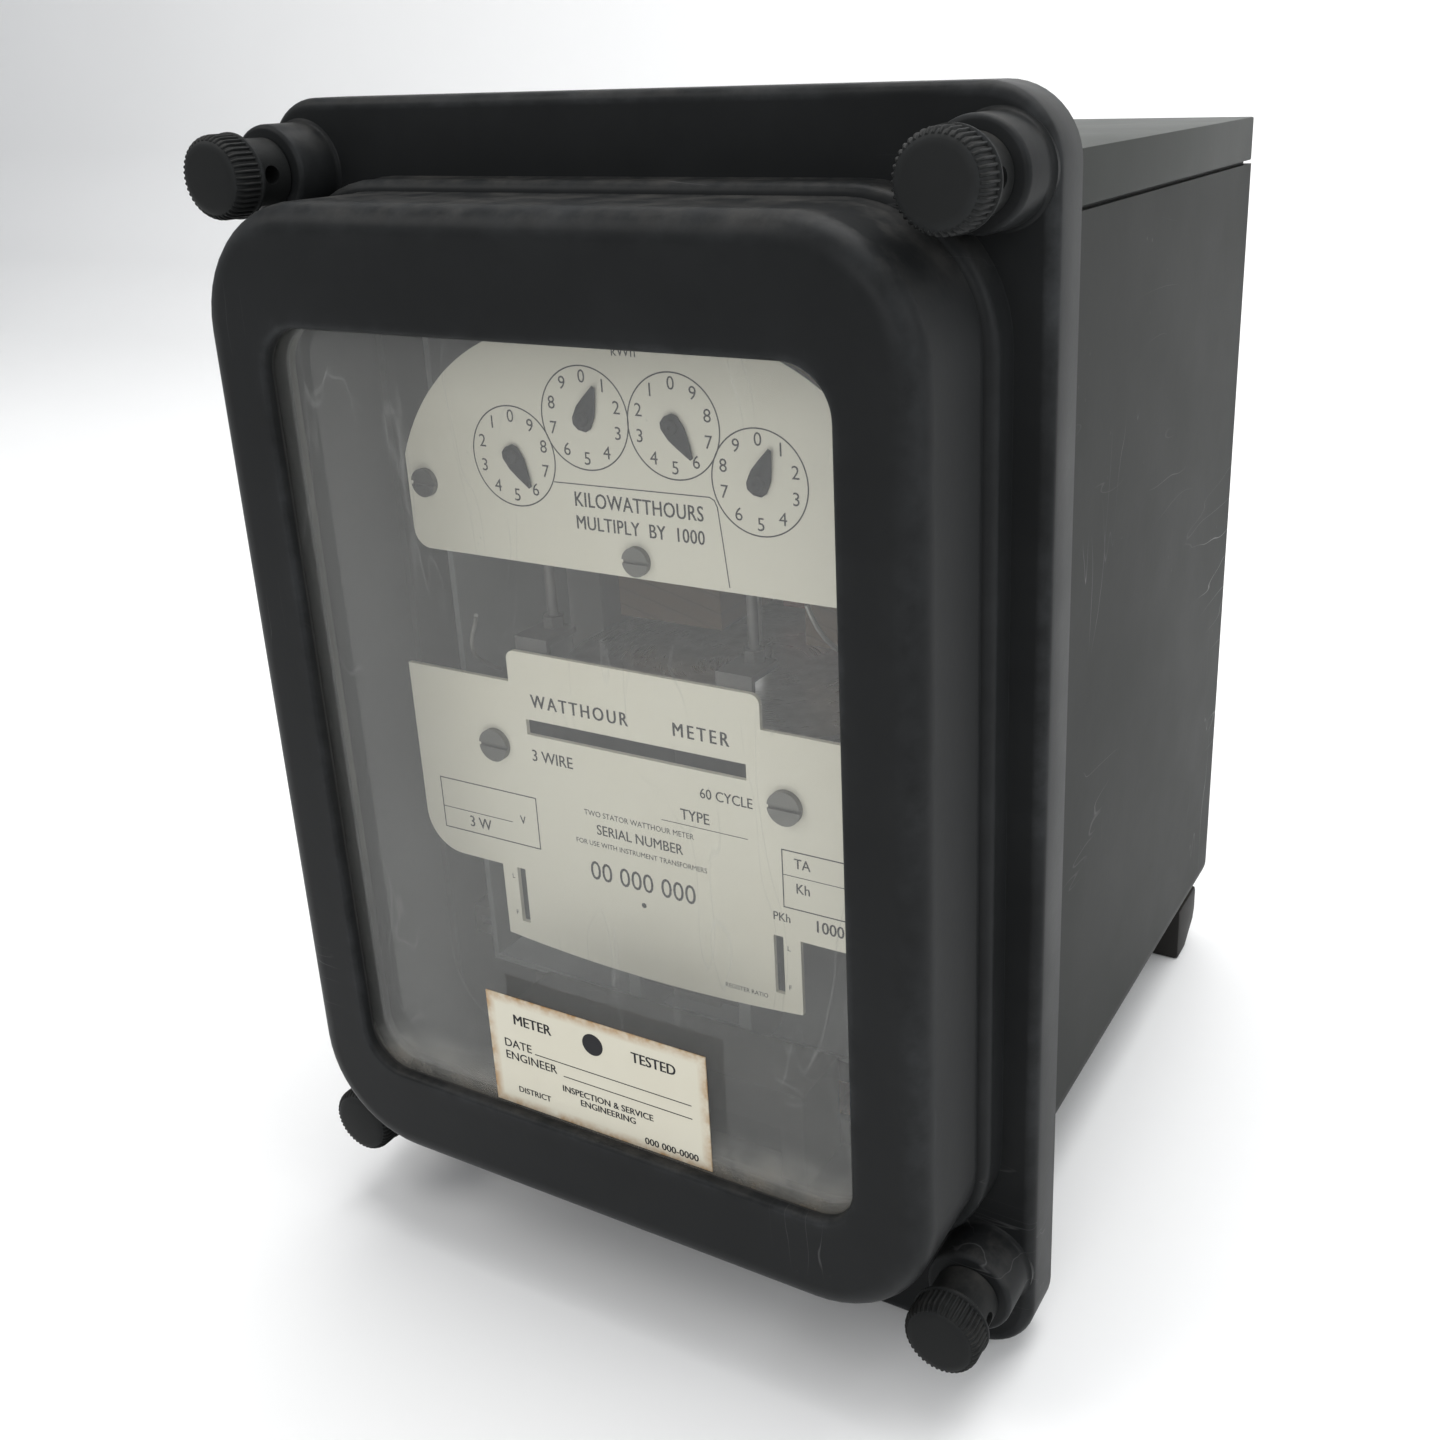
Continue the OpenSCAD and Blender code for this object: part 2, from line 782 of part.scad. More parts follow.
module inspection_label() {
  color(plate_white) behind_panel()
    box([-26, -glass_face - label_t, window_z + 0.3], [27.5, -glass_face, window_z + 27]);
}

module cover_gasket() {
  color("#2b2b2b") behind_panel() slab(-pocket, -flange_plate_t) difference() {
    flange_plate_outline(0.2);
    bezel_outline(0.6 - wall);
    for (x = [-knob_x, knob_x], z = [knob_low, knob_high]) translate([x, z]) circle(3);
    for (x = [-screw_x, screw_x], z = [screw_low, screw_high])
      translate([x, z]) circle(screw_head_r);
  }
}

module knob(x, z) {
  color(phenolic) behind_panel() translate([x, 0, z]) difference() {
    union() {
      rod(0, 0, knob_d / 2, -knob_face, -knob_back);
      rod(0, 0, knob_d / 2 + 0.2, -knob_back - 0.9, -knob_back);
      rod(0, 0, neck_d / 2, -knob_back, -boss_face - 0.1);
    }
    rod(0, 0, cover_stud_r + run, -cover_stud_end - 0.5, -boss_face + 1);
    rod_x(-seal_y, 0, 1.75, 10);
  }
}

module knob_top_left() { knob(-knob_x, knob_high); }

module knob_top_right() { knob(knob_x, knob_high); }

module knob_bottom_left() { knob(-knob_x, knob_low); }

module knob_bottom_right() { knob(knob_x, knob_low); }

mounting_flange();
case_wrapper();
case_top_cap();
case_back_plate();
rear_feet();
cover_studs();
case_contact_block();
contact_fingers();
lead_straps();
terminal_block();
terminal_studs();
terminal_nuts();
guide_rails();
cradle_frame();
cradle_contact_block();
cradle_contacts();
meter_frame();
upper_bearing();
lower_bearing();
brake_magnets();
stator_core_left();
stator_core_right();
voltage_coil_left();
voltage_coil_right();
current_coil_left();
current_coil_right();
register_front_plate();
register_back_plate();
register_posts();
dial_plate();
dial_plate_screws();
nameplate_bracket();
nameplate();
nameplate_screws();
latch_upper();
latch_lower();
rotor_shaft();
rotor_disk();
rotor_worm();
worm_wheel();
units_spindle();
tens_spindle();
hundreds_spindle();
thousands_spindle();
units_pointer();
tens_pointer();
hundreds_pointer();
thousands_pointer();
plug_body();
plug_blades();
cover_shell();
window_glass();
glass_gasket();
glass_retainer();
cover_gasket();
inspection_label();
knob_top_left();
knob_top_right();
knob_bottom_left();
knob_bottom_right();
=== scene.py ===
"""Looks of a switchboard watthour meter in a drawout case, built around its CAD model."""

import json
import math

import bmesh
import bpy
from bpy.props import FloatProperty, FloatVectorProperty, IntProperty, PointerProperty
from mathutils import Matrix, Vector


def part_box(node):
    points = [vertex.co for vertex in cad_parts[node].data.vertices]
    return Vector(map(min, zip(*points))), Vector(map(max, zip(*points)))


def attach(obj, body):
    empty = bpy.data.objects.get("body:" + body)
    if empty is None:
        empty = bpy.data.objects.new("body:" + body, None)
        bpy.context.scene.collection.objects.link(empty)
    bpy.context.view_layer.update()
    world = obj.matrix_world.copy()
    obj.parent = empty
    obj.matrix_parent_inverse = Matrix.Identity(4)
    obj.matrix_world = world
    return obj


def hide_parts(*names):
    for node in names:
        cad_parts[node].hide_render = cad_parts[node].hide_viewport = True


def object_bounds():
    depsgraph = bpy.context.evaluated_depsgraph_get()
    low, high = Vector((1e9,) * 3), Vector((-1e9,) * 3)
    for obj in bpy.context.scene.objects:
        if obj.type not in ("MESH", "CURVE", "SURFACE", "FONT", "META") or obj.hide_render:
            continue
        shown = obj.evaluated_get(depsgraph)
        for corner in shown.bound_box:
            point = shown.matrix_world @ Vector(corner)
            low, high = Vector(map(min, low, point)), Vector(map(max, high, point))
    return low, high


bl_info = {
    "name": "Drawout Watthour Meter",
    "version": (1, 0, 0),
    "blender": (4, 5, 0),
    "location": "3D View > Sidebar > Meter",
    "description": "Makes the cover, knobs, prints, glass and finishes of a drawout watthour meter",
    "category": "Object",
}

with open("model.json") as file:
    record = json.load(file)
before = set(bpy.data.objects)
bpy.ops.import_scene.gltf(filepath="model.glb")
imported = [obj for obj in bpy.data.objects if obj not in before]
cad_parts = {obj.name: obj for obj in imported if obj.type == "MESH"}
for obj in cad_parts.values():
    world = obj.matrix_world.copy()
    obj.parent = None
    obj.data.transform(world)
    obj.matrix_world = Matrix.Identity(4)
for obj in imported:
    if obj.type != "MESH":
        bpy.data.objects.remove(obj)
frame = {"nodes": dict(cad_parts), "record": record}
CAD_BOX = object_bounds()
MM = 0.001
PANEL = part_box("mounting_flange")[1].y       # the panel's face, where the case passes through it


def size(name, text, default, low, high):
    """A length in metres, shown in the panel."""
    return FloatProperty(name=name, description=text, default=default, min=low, max=high,
                         subtype="DISTANCE", unit="LENGTH", precision=5)


def colour(name, text, default):
    return FloatVectorProperty(name=name, description=text, default=default, size=3, min=0, max=1,
                               subtype="COLOR")


class MeterSizes(bpy.types.PropertyGroup):
    """Sizes of the rounded and repeated details."""
    bezel_round: size("Bezel round", "Radius along the bezel's front edge", 5 * MM, 2 * MM, 6 * MM)
    flange_round: size("Flange round", "Radius along the flange's front edge", 2 * MM, 0.5 * MM, 3 * MM)
    lip_round: size("Lip round", "Radius along the window's edge", 0.9 * MM, 0.3 * MM, 1.2 * MM)
    rib_height: size("Rib height", "How far a knob's ribs stand out", 0.42 * MM, 0.2 * MM, 1 * MM)
    sheet_round: size("Sheet edge", "Radius of the steel case's edges", 0.5 * MM, 0.1 * MM, 0.7 * MM)
    numeral: size("Numeral", "Height of the dials' numerals", 3.3 * MM, 2 * MM, 4 * MM)
    ink_lift: size("Ink", "Thickness of printed ink", 0.03 * MM, 0.01 * MM, 0.06 * MM)
    ribs: IntProperty(name="Knob ribs", description="Number of ribs round a knob", default=42,
                      min=20, max=60)


class MeterColours(bpy.types.PropertyGroup):
    """Colours of the finishes."""
    moulding: colour("Moulding", "Cover moulding", (0.0105, 0.0112, 0.0115))
    worn: colour("Worn moulding", "Rubbed edges of the cover", (0.032, 0.034, 0.0355))
    knob: colour("Knobs", "Knob moulding", (0.0110, 0.0116, 0.0115))
    case: colour("Case", "Enamel of the steel case", (0.0215, 0.0228, 0.0212))
    plate: colour("Plates", "Enamel of the dial plate and nameplate", (0.72, 0.70, 0.60))
    ink: colour("Ink", "Printing ink", (0.03, 0.03, 0.032))
    paper: colour("Paper", "Inspection label", (0.60, 0.575, 0.475))
    works: colour("Works", "Paint on the frame inside", (0.20, 0.21, 0.21))


# ---- meshes ------------------------------------------------------------

def place(x, d, z):
    """A point given in millimetres: x, distance in front of the panel, height."""
    return Vector((x * MM, PANEL - d * MM, z * MM))


def finished(name, mesh, material, body, stands_for=(), sharp=35):
    """Turns a bmesh into a piece that rides on a body."""
    data = bpy.data.meshes.new(name)
    mesh.to_mesh(data)
    mesh.free()
    data.materials.append(material)
    data.shade_smooth()
    data.set_sharp_from_angle(angle=math.radians(sharp))
    piece = bpy.data.objects.new(name, data)
    bpy.context.scene.collection.objects.link(piece)
    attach(piece, body)
    if stands_for:
        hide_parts(*stands_for)
    return piece


def outwards(mesh):
    bmesh.ops.recalc_face_normals(mesh, faces=mesh.faces)


def round_loop(w, h, r, cz, d, steps=12):
    """Points round a rounded rectangle whose middle is at height cz, at depth d."""
    r = max(r, 0.05)
    loop = []
    for k, (sx, sz) in enumerate(((1, 1), (-1, 1), (-1, -1), (1, -1))):
        for i in range(steps + 1):
            a = math.radians(90 * k + 90 * i / steps)
            loop.append(place(sx * (w / 2 - r) + r * math.cos(a), d,
                              cz + sz * (h / 2 - r) + r * math.sin(a)))
    return loop


def skin(mesh, loops, closed=True, wear=None):
    """Joins loops of equal length into a surface; wear is one value for each loop."""
    layer = mesh.verts.layers.float.get("wear") or mesh.verts.layers.float.new("wear")
    rings = []
    for i, loop in enumerate(loops):
        ring = [mesh.verts.new(p) for p in loop]
        for v in ring:
            v[layer] = wear[i] if wear else 0
        rings.append(ring)
    pairs = list(zip(rings, rings[1:] + rings[:1])) if closed else list(zip(rings, rings[1:]))
    for a, b in pairs:
        for i in range(len(a)):
            j = (i + 1) % len(a)
            mesh.faces.new((a[i], a[j], b[j], b[i]))
    return rings


def turned(mesh, profile, x, z, steps=48, closed=True, wear=None):
    """Turns a profile of (radius, depth) pairs round an axis along Y; radius 0 closes on a pole."""
    loops = [[place(x + r * math.cos(t), d, z + r * math.sin(t))
              for t in (2 * math.pi * i / steps for i in range(steps))] for r, d in profile]
    rings = skin(mesh, loops, closed, wear)
    if not closed:
        mesh.faces.new(rings[0])
        mesh.faces.new(list(reversed(rings[-1])))
    return rings


def stroke(mesh, points, width, d, lift):
    """An inked line through (x, z) points in millimetres on a plate whose face is at depth d."""
    for (x0, z0), (x1, z1) in zip(points, points[1:]):
        along = Vector((x1 - x0, z1 - z0)).normalized()
        side = Vector((-along.y, along.x)) * width / 2
        along *= width / 2
        corners = [(x0 - along.x + side.x, z0 - along.y + side.y),
                   (x0 - along.x - side.x, z0 - along.y - side.y),
                   (x1 + along.x - side.x, z1 + along.y - side.y),
                   (x1 + along.x + side.x, z1 + along.y + side.y)]
        prism(mesh, corners, d, lift)


def prism(mesh, corners, d, lift):
    """A thin plate with the outline given in millimetres, standing lift in front of depth d."""
    back = [mesh.verts.new(place(x, d, z)) for x, z in corners]
    front = [mesh.verts.new(place(x, d + lift, z)) for x, z in corners]
    n = len(corners)
    mesh.faces.new(front)
    mesh.faces.new(list(reversed(back)))
    for i in range(n):
        mesh.faces.new((front[(i + 1) % n], front[i], back[i], back[(i + 1) % n]))


def band(mesh, x, z, r, width, d, lift, steps=64):
    """A printed circle line."""
    turned(mesh, [(r - width / 2, d), (r - width / 2, d + lift), (r + width / 2, d + lift),
                  (r + width / 2, d)], x, z, steps)


def lettering(mesh, words, x, z, height, d, lift, anchor="CENTER", stretch=1.0, weight=0.0, space=1.0):
    """Sets words in the built-in face at (x, z) in millimetres; a weight strikes them twice."""
    curve = bpy.data.curves.new("words", "FONT")
    curve.body = words
    curve.align_x = anchor
    curve.align_y = "CENTER"
    curve.size = height * MM / 0.7
    curve.extrude = lift * MM / 2
    curve.space_character = space
    curve.resolution_u = 3
    holder = bpy.data.objects.new("words", curve)
    bpy.context.scene.collection.objects.link(holder)
    data = bpy.data.meshes.new_from_object(holder.evaluated_get(
        bpy.context.evaluated_depsgraph_get()))
    data.transform(Matrix.Translation(place(x - weight, d + lift / 2, z))
                   @ Matrix.Rotation(math.pi / 2, 4, "X") @ Matrix.Diagonal((stretch, 1, 1, 1)))
    mesh.from_mesh(data)
    if weight:
        data.transform(Matrix.Translation((2 * weight * MM, -0.004 * MM, 0)))
        mesh.from_mesh(data)
    bpy.data.objects.remove(holder)
    bpy.data.curves.remove(curve)
    bpy.data.meshes.remove(data)


def softened(node, name, width, material, body):
    """A copy of a CAD node with its edges rounded, standing for it."""
    mesh = bmesh.new()
    mesh.from_mesh(frame["nodes"][node].data)
    bmesh.ops.remove_doubles(mesh, verts=mesh.verts, dist=1e-6)
    bmesh.ops.dissolve_limit(mesh, angle_limit=math.radians(1), verts=mesh.verts, edges=mesh.edges)
    outwards(mesh)
    sharp = [e for e in mesh.edges if len(e.link_faces) == 2 and e.calc_face_angle(0) > math.radians(40)]
    bmesh.ops.bevel(mesh, geom=sharp, offset=width, segments=2, profile=0.6, affect="EDGES",
                    clamp_overlap=True)
    return finished(name, mesh, material, body, (node,), 30)


# ---- repeated details --------------------------------------------------

def ring_tree():
    """Geometry nodes that repeat a shape round a circle about Z, each copy turned to its place."""
    tree = bpy.data.node_groups.new("Ring of ribs", "GeometryNodeTree")
    face = tree.interface
    face.new_socket("Geometry", in_out="INPUT", socket_type="NodeSocketGeometry")
    count = face.new_socket("Count", in_out="INPUT", socket_type="NodeSocketInt")
    radius = face.new_socket("Radius", in_out="INPUT", socket_type="NodeSocketFloat")
    finish = face.new_socket("Finish", in_out="INPUT", socket_type="NodeSocketMaterial")
    face.new_socket("Geometry", in_out="OUTPUT", socket_type="NodeSocketGeometry")
    add, link = tree.nodes.new, tree.links.new
    given, result = add("NodeGroupInput"), add("NodeGroupOutput")
    points = add("GeometryNodeMeshCircle")
    link(given.outputs["Count"], points.inputs["Vertices"])
    link(given.outputs["Radius"], points.inputs["Radius"])
    index, share, angle = add("GeometryNodeInputIndex"), add("ShaderNodeMath"), add("ShaderNodeMath")
    share.operation, angle.operation = "DIVIDE", "MULTIPLY"
    share.inputs[0].default_value = 2 * math.pi
    link(given.outputs["Count"], share.inputs[1])
    link(index.outputs[0], angle.inputs[0])
    link(share.outputs[0], angle.inputs[1])
    turn, spread = add("ShaderNodeCombineXYZ"), add("GeometryNodeInstanceOnPoints")
    link(angle.outputs[0], turn.inputs["Z"])
    link(turn.outputs[0], spread.inputs["Rotation"])
    link(points.outputs["Mesh"], spread.inputs["Points"])
    link(given.outputs["Geometry"], spread.inputs["Instance"])
    real, painted = add("GeometryNodeRealizeInstances"), add("GeometryNodeSetMaterial")
    link(spread.outputs["Instances"], real.inputs["Geometry"])
    link(real.outputs["Geometry"], painted.inputs["Geometry"])
    link(given.outputs["Finish"], painted.inputs["Material"])
    link(painted.outputs["Geometry"], result.inputs["Geometry"])
    return tree, count.identifier, radius.identifier, finish.identifier


def ringed(mesh, count, radius, material):
    """The mesh of a shape repeated round a circle; the shape itself is used up."""
    data = bpy.data.meshes.new("shape")
    mesh.to_mesh(data)
    mesh.free()
    holder = bpy.data.objects.new("shape", data)
    bpy.context.scene.collection.objects.link(holder)
    tree, *ids = ring_tree()
    modifier = holder.modifiers.new("ring", "NODES")
    modifier.node_group = tree
    for key, value in zip(ids, (count, radius, material)):
        modifier[key] = value
    bpy.context.view_layer.update()
    made = bpy.data.meshes.new_from_object(holder.evaluated_get(
        bpy.context.evaluated_depsgraph_get()))
    bpy.data.objects.remove(holder)
    return made


# ---- finishes ----------------------------------------------------------

class Sock:
    """A shader socket that Python's arithmetic works on."""

    def __init__(self, maker, socket):
        self.maker, self.socket = maker, socket

    def math(self, operation, first, second):
        node = self.maker.node("ShaderNodeMath", {"operation": operation}, {0: first, 1: second})
        return Sock(self.maker, node.outputs[0])

    def __add__(self, other): return self.math("ADD", self, other)
    def __radd__(self, other): return self.math("ADD", other, self)
    def __sub__(self, other): return self.math("SUBTRACT", self, other)
    def __rsub__(self, other): return self.math("SUBTRACT", other, self)
    def __mul__(self, other): return self.math("MULTIPLY", self, other)
    def __rmul__(self, other): return self.math("MULTIPLY", other, self)
    def __truediv__(self, other): return self.math("DIVIDE", self, other)
    def __pow__(self, other): return self.math("POWER", self, other)
    def __abs__(self): return self.math("ABSOLUTE", self, 0)
    def least(self, other): return self.math("MINIMUM", self, other)

    def between(self, low, high, out_low=0.0, out_high=1.0):
        """Maps low..high to out_low..out_high, held at the ends."""
        node = self.maker.node("ShaderNodeMapRange", {"clamp": True}, {
            "Value": self, "From Min": low, "From Max": high, "To Min": out_low, "To Max": out_high})
        return Sock(self.maker, node.outputs["Result"])


class Finish:
    """A material under construction."""

    def __init__(self, name):
        self.material = bpy.data.materials.new(name)
        self.material.use_nodes = True
        self.tree = self.material.node_tree
        self.tree.nodes.clear()
        self.place = Sock(self, self.node("ShaderNodeTexCoord").outputs["Object"])
        part = self.node("ShaderNodeSeparateXYZ", {}, {0: self.place})
        self.x, self.y, self.z = (Sock(self, s) for s in part.outputs)

    def node(self, kind, settings=None, values=None):
        node = self.tree.nodes.new(kind)
        for key, value in (settings or {}).items():
            setattr(node, key, value)
        for key, value in (values or {}).items():
            if isinstance(value, Sock):
                self.tree.links.new(value.socket, node.inputs[key])
            else:
                if isinstance(value, (tuple, list)) and len(value) == 3 \
                        and node.inputs[key].type == "RGBA":
                    value = (*value, 1)
                node.inputs[key].default_value = value
        return node

    def stretched(self, x, y, z):
        """The coordinates with each axis scaled, for a drawn-out pattern."""
        node = self.node("ShaderNodeMapping", {}, {"Vector": self.place, "Scale": (x, y, z)})
        return Sock(self, node.outputs[0])

    def noise(self, scale, detail=3.0, rough=0.55, place=None):
        node = self.node("ShaderNodeTexNoise", {}, {"Vector": place or self.place, "Scale": scale,
                                                    "Detail": detail, "Roughness": rough})
        return Sock(self, node.outputs["Fac"])

    def cells(self, scale, place=None):
        node = self.node("ShaderNodeTexVoronoi", {}, {"Vector": place or self.place, "Scale": scale})
        return Sock(self, node.outputs["Distance"])

    def attribute(self, name):
        return Sock(self, self.node("ShaderNodeAttribute", {"attribute_name": name}).outputs["Fac"])

    def upward(self):
        """How much the surface faces up, from 0 to 1."""
        normal = self.node("ShaderNodeNewGeometry").outputs["Normal"]
        part = self.node("ShaderNodeSeparateXYZ", {}, {0: Sock(self, normal)})
        return Sock(self, part.outputs["Z"]).between(0.3, 0.95)

    def mix(self, share, first, second):
        node = self.node("ShaderNodeMix", {"data_type": "RGBA"}, {0: share, 6: first, 7: second})
        return Sock(self, node.outputs[2])

    def bump(self, height, depth, strength=1.0):
        node = self.node("ShaderNodeBump", {}, {"Height": height, "Distance": depth,
                                                "Strength": strength})
        return Sock(self, node.outputs[0])

    def scratches(self, scale, x, y, z, thin=0.004, cover=0.62):
        """Thin drawn-out lines, in patches."""
        line = self.noise(scale, 2.0, 0.5, self.stretched(x, y, z))
        patch = self.noise(scale * 0.25, 2.0, 0.6).between(cover, cover + 0.05)
        return abs(line - 0.5).between(thin, 0.0) * patch

    def surface(self, values):
        shader = self.node("ShaderNodeBsdfPrincipled", {}, values)
        self.close(shader.outputs[0])
        return self.material

    def close(self, output):
        self.tree.links.new(output, self.node("ShaderNodeOutputMaterial").inputs[0])


def moulding(name, base, worn, rough=0.42):
    """Old dark phenolic: rubbed edges, fine scratches, dust where it faces up."""
    f = Finish(name)
    patchy = f.noise(35, 4, 0.6)
    rubbed = f.attribute("wear") * f.noise(160, 4, 0.65).between(0.32, 0.7) * patchy.between(0.3, 0.65)
    fine = f.noise(900, 2, 0.5)
    dust = f.upward() * f.noise(90, 5, 0.7).between(0.42, 0.75) * 0.22
    lines = f.scratches(60, 0.25, 1.0, 3.0, 0.006) + f.scratches(70, 2.5, 0.6, 0.3, 0.005)
    body = f.mix(patchy.between(0.3, 0.7, 0.0, 0.5), base, tuple(c * 1.5 for c in base))
    body = f.mix(rubbed, body, worn)
    body = f.mix(dust, body, (0.16, 0.15, 0.135))
    body = f.mix((lines * 0.3).least(1.0), body, (0.15, 0.15, 0.15))
    return f.surface({"Base Color": body,
                      "Roughness": rough + (patchy - 0.5) * 0.16 + dust * 0.5 + rubbed * 0.12,
                      "Specular IOR Level": 0.08,
                      "Normal": f.bump(fine * 0.5 + f.noise(260, 3) * 0.5, 0.00006, 0.35)})


def enamel(name, base, rough=0.46, scratched=1.0, speckle=0.12):
    """Painted steel with mottling, grime and pale scratches, and a painted top light: faces that look up
    are lighter.
    """
    f = Finish(name)
    mottle = f.noise(22, 5, 0.62)
    grime = f.noise(9, 3, 0.6).between(0.42, 0.68)
    long = f.scratches(24, 0.5, 0.5, 3.2, 0.0035, 0.56) + f.scratches(30, 1.0, 2.6, 0.35, 0.003, 0.58)
    specks = f.cells(170).between(0.10, 0.04) * f.noise(40, 2).between(0.55, 0.7)
    body = f.mix(mottle.between(0.3, 0.7), tuple(c * 0.8 for c in base), tuple(c * 1.25 for c in base))
    body = f.mix(grime * 0.4, body, tuple(c * 0.55 for c in base))
    # painted highlight: faces that look up get a lighter copy of the base colour, standing for light from
    # above
    body = f.mix(f.upward() * 0.42, body, tuple(min(1.0, c * 2.6) for c in base))
    body = f.mix((long * 0.5 * scratched + specks * speckle).least(1.0), body, (0.3, 0.3, 0.29))
    return f.surface({"Base Color": body, "Roughness": rough + (mottle - 0.5) * 0.25 - long * 0.1,
                      "Specular IOR Level": 0.05,
                      "Normal": f.bump(f.noise(420, 3) + mottle * 2, 0.00005, 0.25)})


def card(name, base, stain=(0.45, 0.36, 0.22), rough=0.5, edge=None):
    """Cream enamel or paper, slightly yellowed in patches."""
    f = Finish(name)
    patch = f.noise(28, 4, 0.6).between(0.45, 0.8)
    spots = f.cells(120).between(0.05, 0.02) * f.noise(60, 2).between(0.6, 0.75)
    body = f.mix(patch * 0.25, base, tuple(c * k for c, k in zip(base, (0.86, 0.82, 0.74))))
    body = f.mix(spots * 0.5, body, stain)
    if edge:
        (x0, z0), (x1, z1) = edge
        near = ((f.x - x0).least(x1 - f.x)).least((f.z - z0).least(z1 - f.z))
        aged = near.between(2.2 * MM, 0.0) * f.noise(220, 3, 0.7).between(0.3, 0.62)
        body = f.mix(aged, body, stain)
    return f.surface({"Base Color": body, "Roughness": rough,
                      "Normal": f.bump(f.noise(700, 3), 0.00003, 0.12)})


def metal(name, base, rough=0.35, metallic=1.0, spun=None, dull=(0.2, 0.19, 0.17)):
    """Bare metal with tarnish; spun gives the axis (x, y) of turning marks about Z."""
    f = Finish(name)
    tarnish = f.noise(70, 4, 0.65).between(0.45, 0.75)
    grain = f.noise(300, 2, 0.5, f.stretched(0.2, 1, 4))
    if spun:
        r = ((f.x - spun[0]) ** 2 + (f.y - spun[1]) ** 2) ** 0.5
        away = f.node("ShaderNodeCombineXYZ", {}, {0: r})
        grain = f.noise(2600, 2, 0.6, Sock(f, away.outputs[0]))
    body = f.mix(tarnish * 0.5, base, dull)
    return f.surface({"Base Color": body, "Metallic": metallic,
                      "Roughness": rough + (grain - 0.5) * 0.25 + tarnish * 0.15,
                      "Normal": f.bump(grain, 0.00002, 0.25)})


def laminations(name, base):
    """Edges of varnished steel sheets, stacked along Y."""
    f = Finish(name)
    sheet = f.node("ShaderNodeMath", {"operation": "FRACT"}, {0: f.y / (0.6 * MM)})
    gap = Sock(f, sheet.outputs[0]).between(0.12, 0.3)
    body = f.mix(gap, tuple(c * 0.3 for c in base), base)
    return f.surface({"Base Color": body, "Roughness": 0.5, "Metallic": 0.4,
                      "Normal": f.bump(gap, 0.0001, 0.6)})


def windings(name, base):
    """Varnished tape round a coil."""
    f = Finish(name)
    wrap = f.node("ShaderNodeMath", {"operation": "FRACT"}, {0: (f.z + f.x * 0.25) / (4 * MM)})
    edge = Sock(f, wrap.outputs[0]).between(0.0, 0.12)
    body = f.mix(f.noise(120, 3), tuple(c * 0.6 for c in base), base)
    body = f.mix(1 - edge, body, tuple(c * 0.4 for c in base))
    return f.surface({"Base Color": body, "Roughness": 0.45, "Normal": f.bump(edge, 0.0002, 0.7)})


def rubber(name):
    f = Finish(name)
    body = f.mix(f.noise(150, 3), (0.012, 0.012, 0.012), (0.035, 0.034, 0.032))
    return f.surface({"Base Color": body, "Roughness": 0.8, "Normal": f.bump(f.noise(600), 0.00005)})


def dusty_glass(name, low):
    """Clear glass under a film of dust, thicker towards its lower edge, with a painted reflection: a
    lighter upright band near its left side.
    """
    f = Finish(name)
    foot = (f.z - low.z).between(0.014, 0.003) * f.noise(120, 4, 0.7).between(0.3, 0.7)
    # painted reflection: the film is thickened in an upright band near the left side, which lightens it
    # like a reflection
    sweep = f.x + (f.z - low.z) * 0.06 + f.noise(9, 2) * 0.008
    reflection_band = sweep.between(-0.058, -0.050) * sweep.between(-0.018, -0.036)
    film = f.noise(16, 4, 0.6).between(0.2, 0.8, 0.035, 0.07) + reflection_band * 0.025
    specks = f.cells(320).between(0.09, 0.03) * f.noise(90, 2).between(0.55, 0.7) * 0.25
    streak = f.scratches(40, 1.5, 1, 0.3, 0.006, 0.5) * 0.1
    dirt = (film + foot * 0.75 + specks + streak).least(0.95)
    haze = f.mix(foot.least(1.0), (0.44, 0.448, 0.432), (0.15, 0.11, 0.06))
    dust = f.node("ShaderNodeBsdfPrincipled", {}, {"Base Color": haze, "Roughness": 0.7})
    clear = f.node("ShaderNodeBsdfTransparent", {}, {"Color": (0.955, 0.955, 0.945)})
    shine = f.node("ShaderNodeBsdfGlossy", {}, {"Color": (1, 1, 1), "Roughness": 0.04})
    facing = Sock(f, f.node("ShaderNodeLayerWeight", {}, {"Blend": 0.5}).outputs["Facing"])
    pane = f.node("ShaderNodeMixShader", {}, {0: facing ** 5 * 0.9 + 0.035,
                                              1: Sock(f, clear.outputs[0]), 2: Sock(f, shine.outputs[0])})
    whole = f.node("ShaderNodeMixShader", {}, {0: dirt, 1: Sock(f, pane.outputs[0]),
                                               2: Sock(f, dust.outputs[0])})
    f.close(whole.outputs[0])
    return f.material


finishes = {}
# painted shade: nameplate_bracket and glass_retainer get a dark metal that stands for the shade they sit in
SPECIAL = {"nameplate_screws": "screw", "dial_plate_screws": "screw", "nameplate_bracket": "shade_dark_metal",
           "glass_retainer": "shade_dark_metal"}


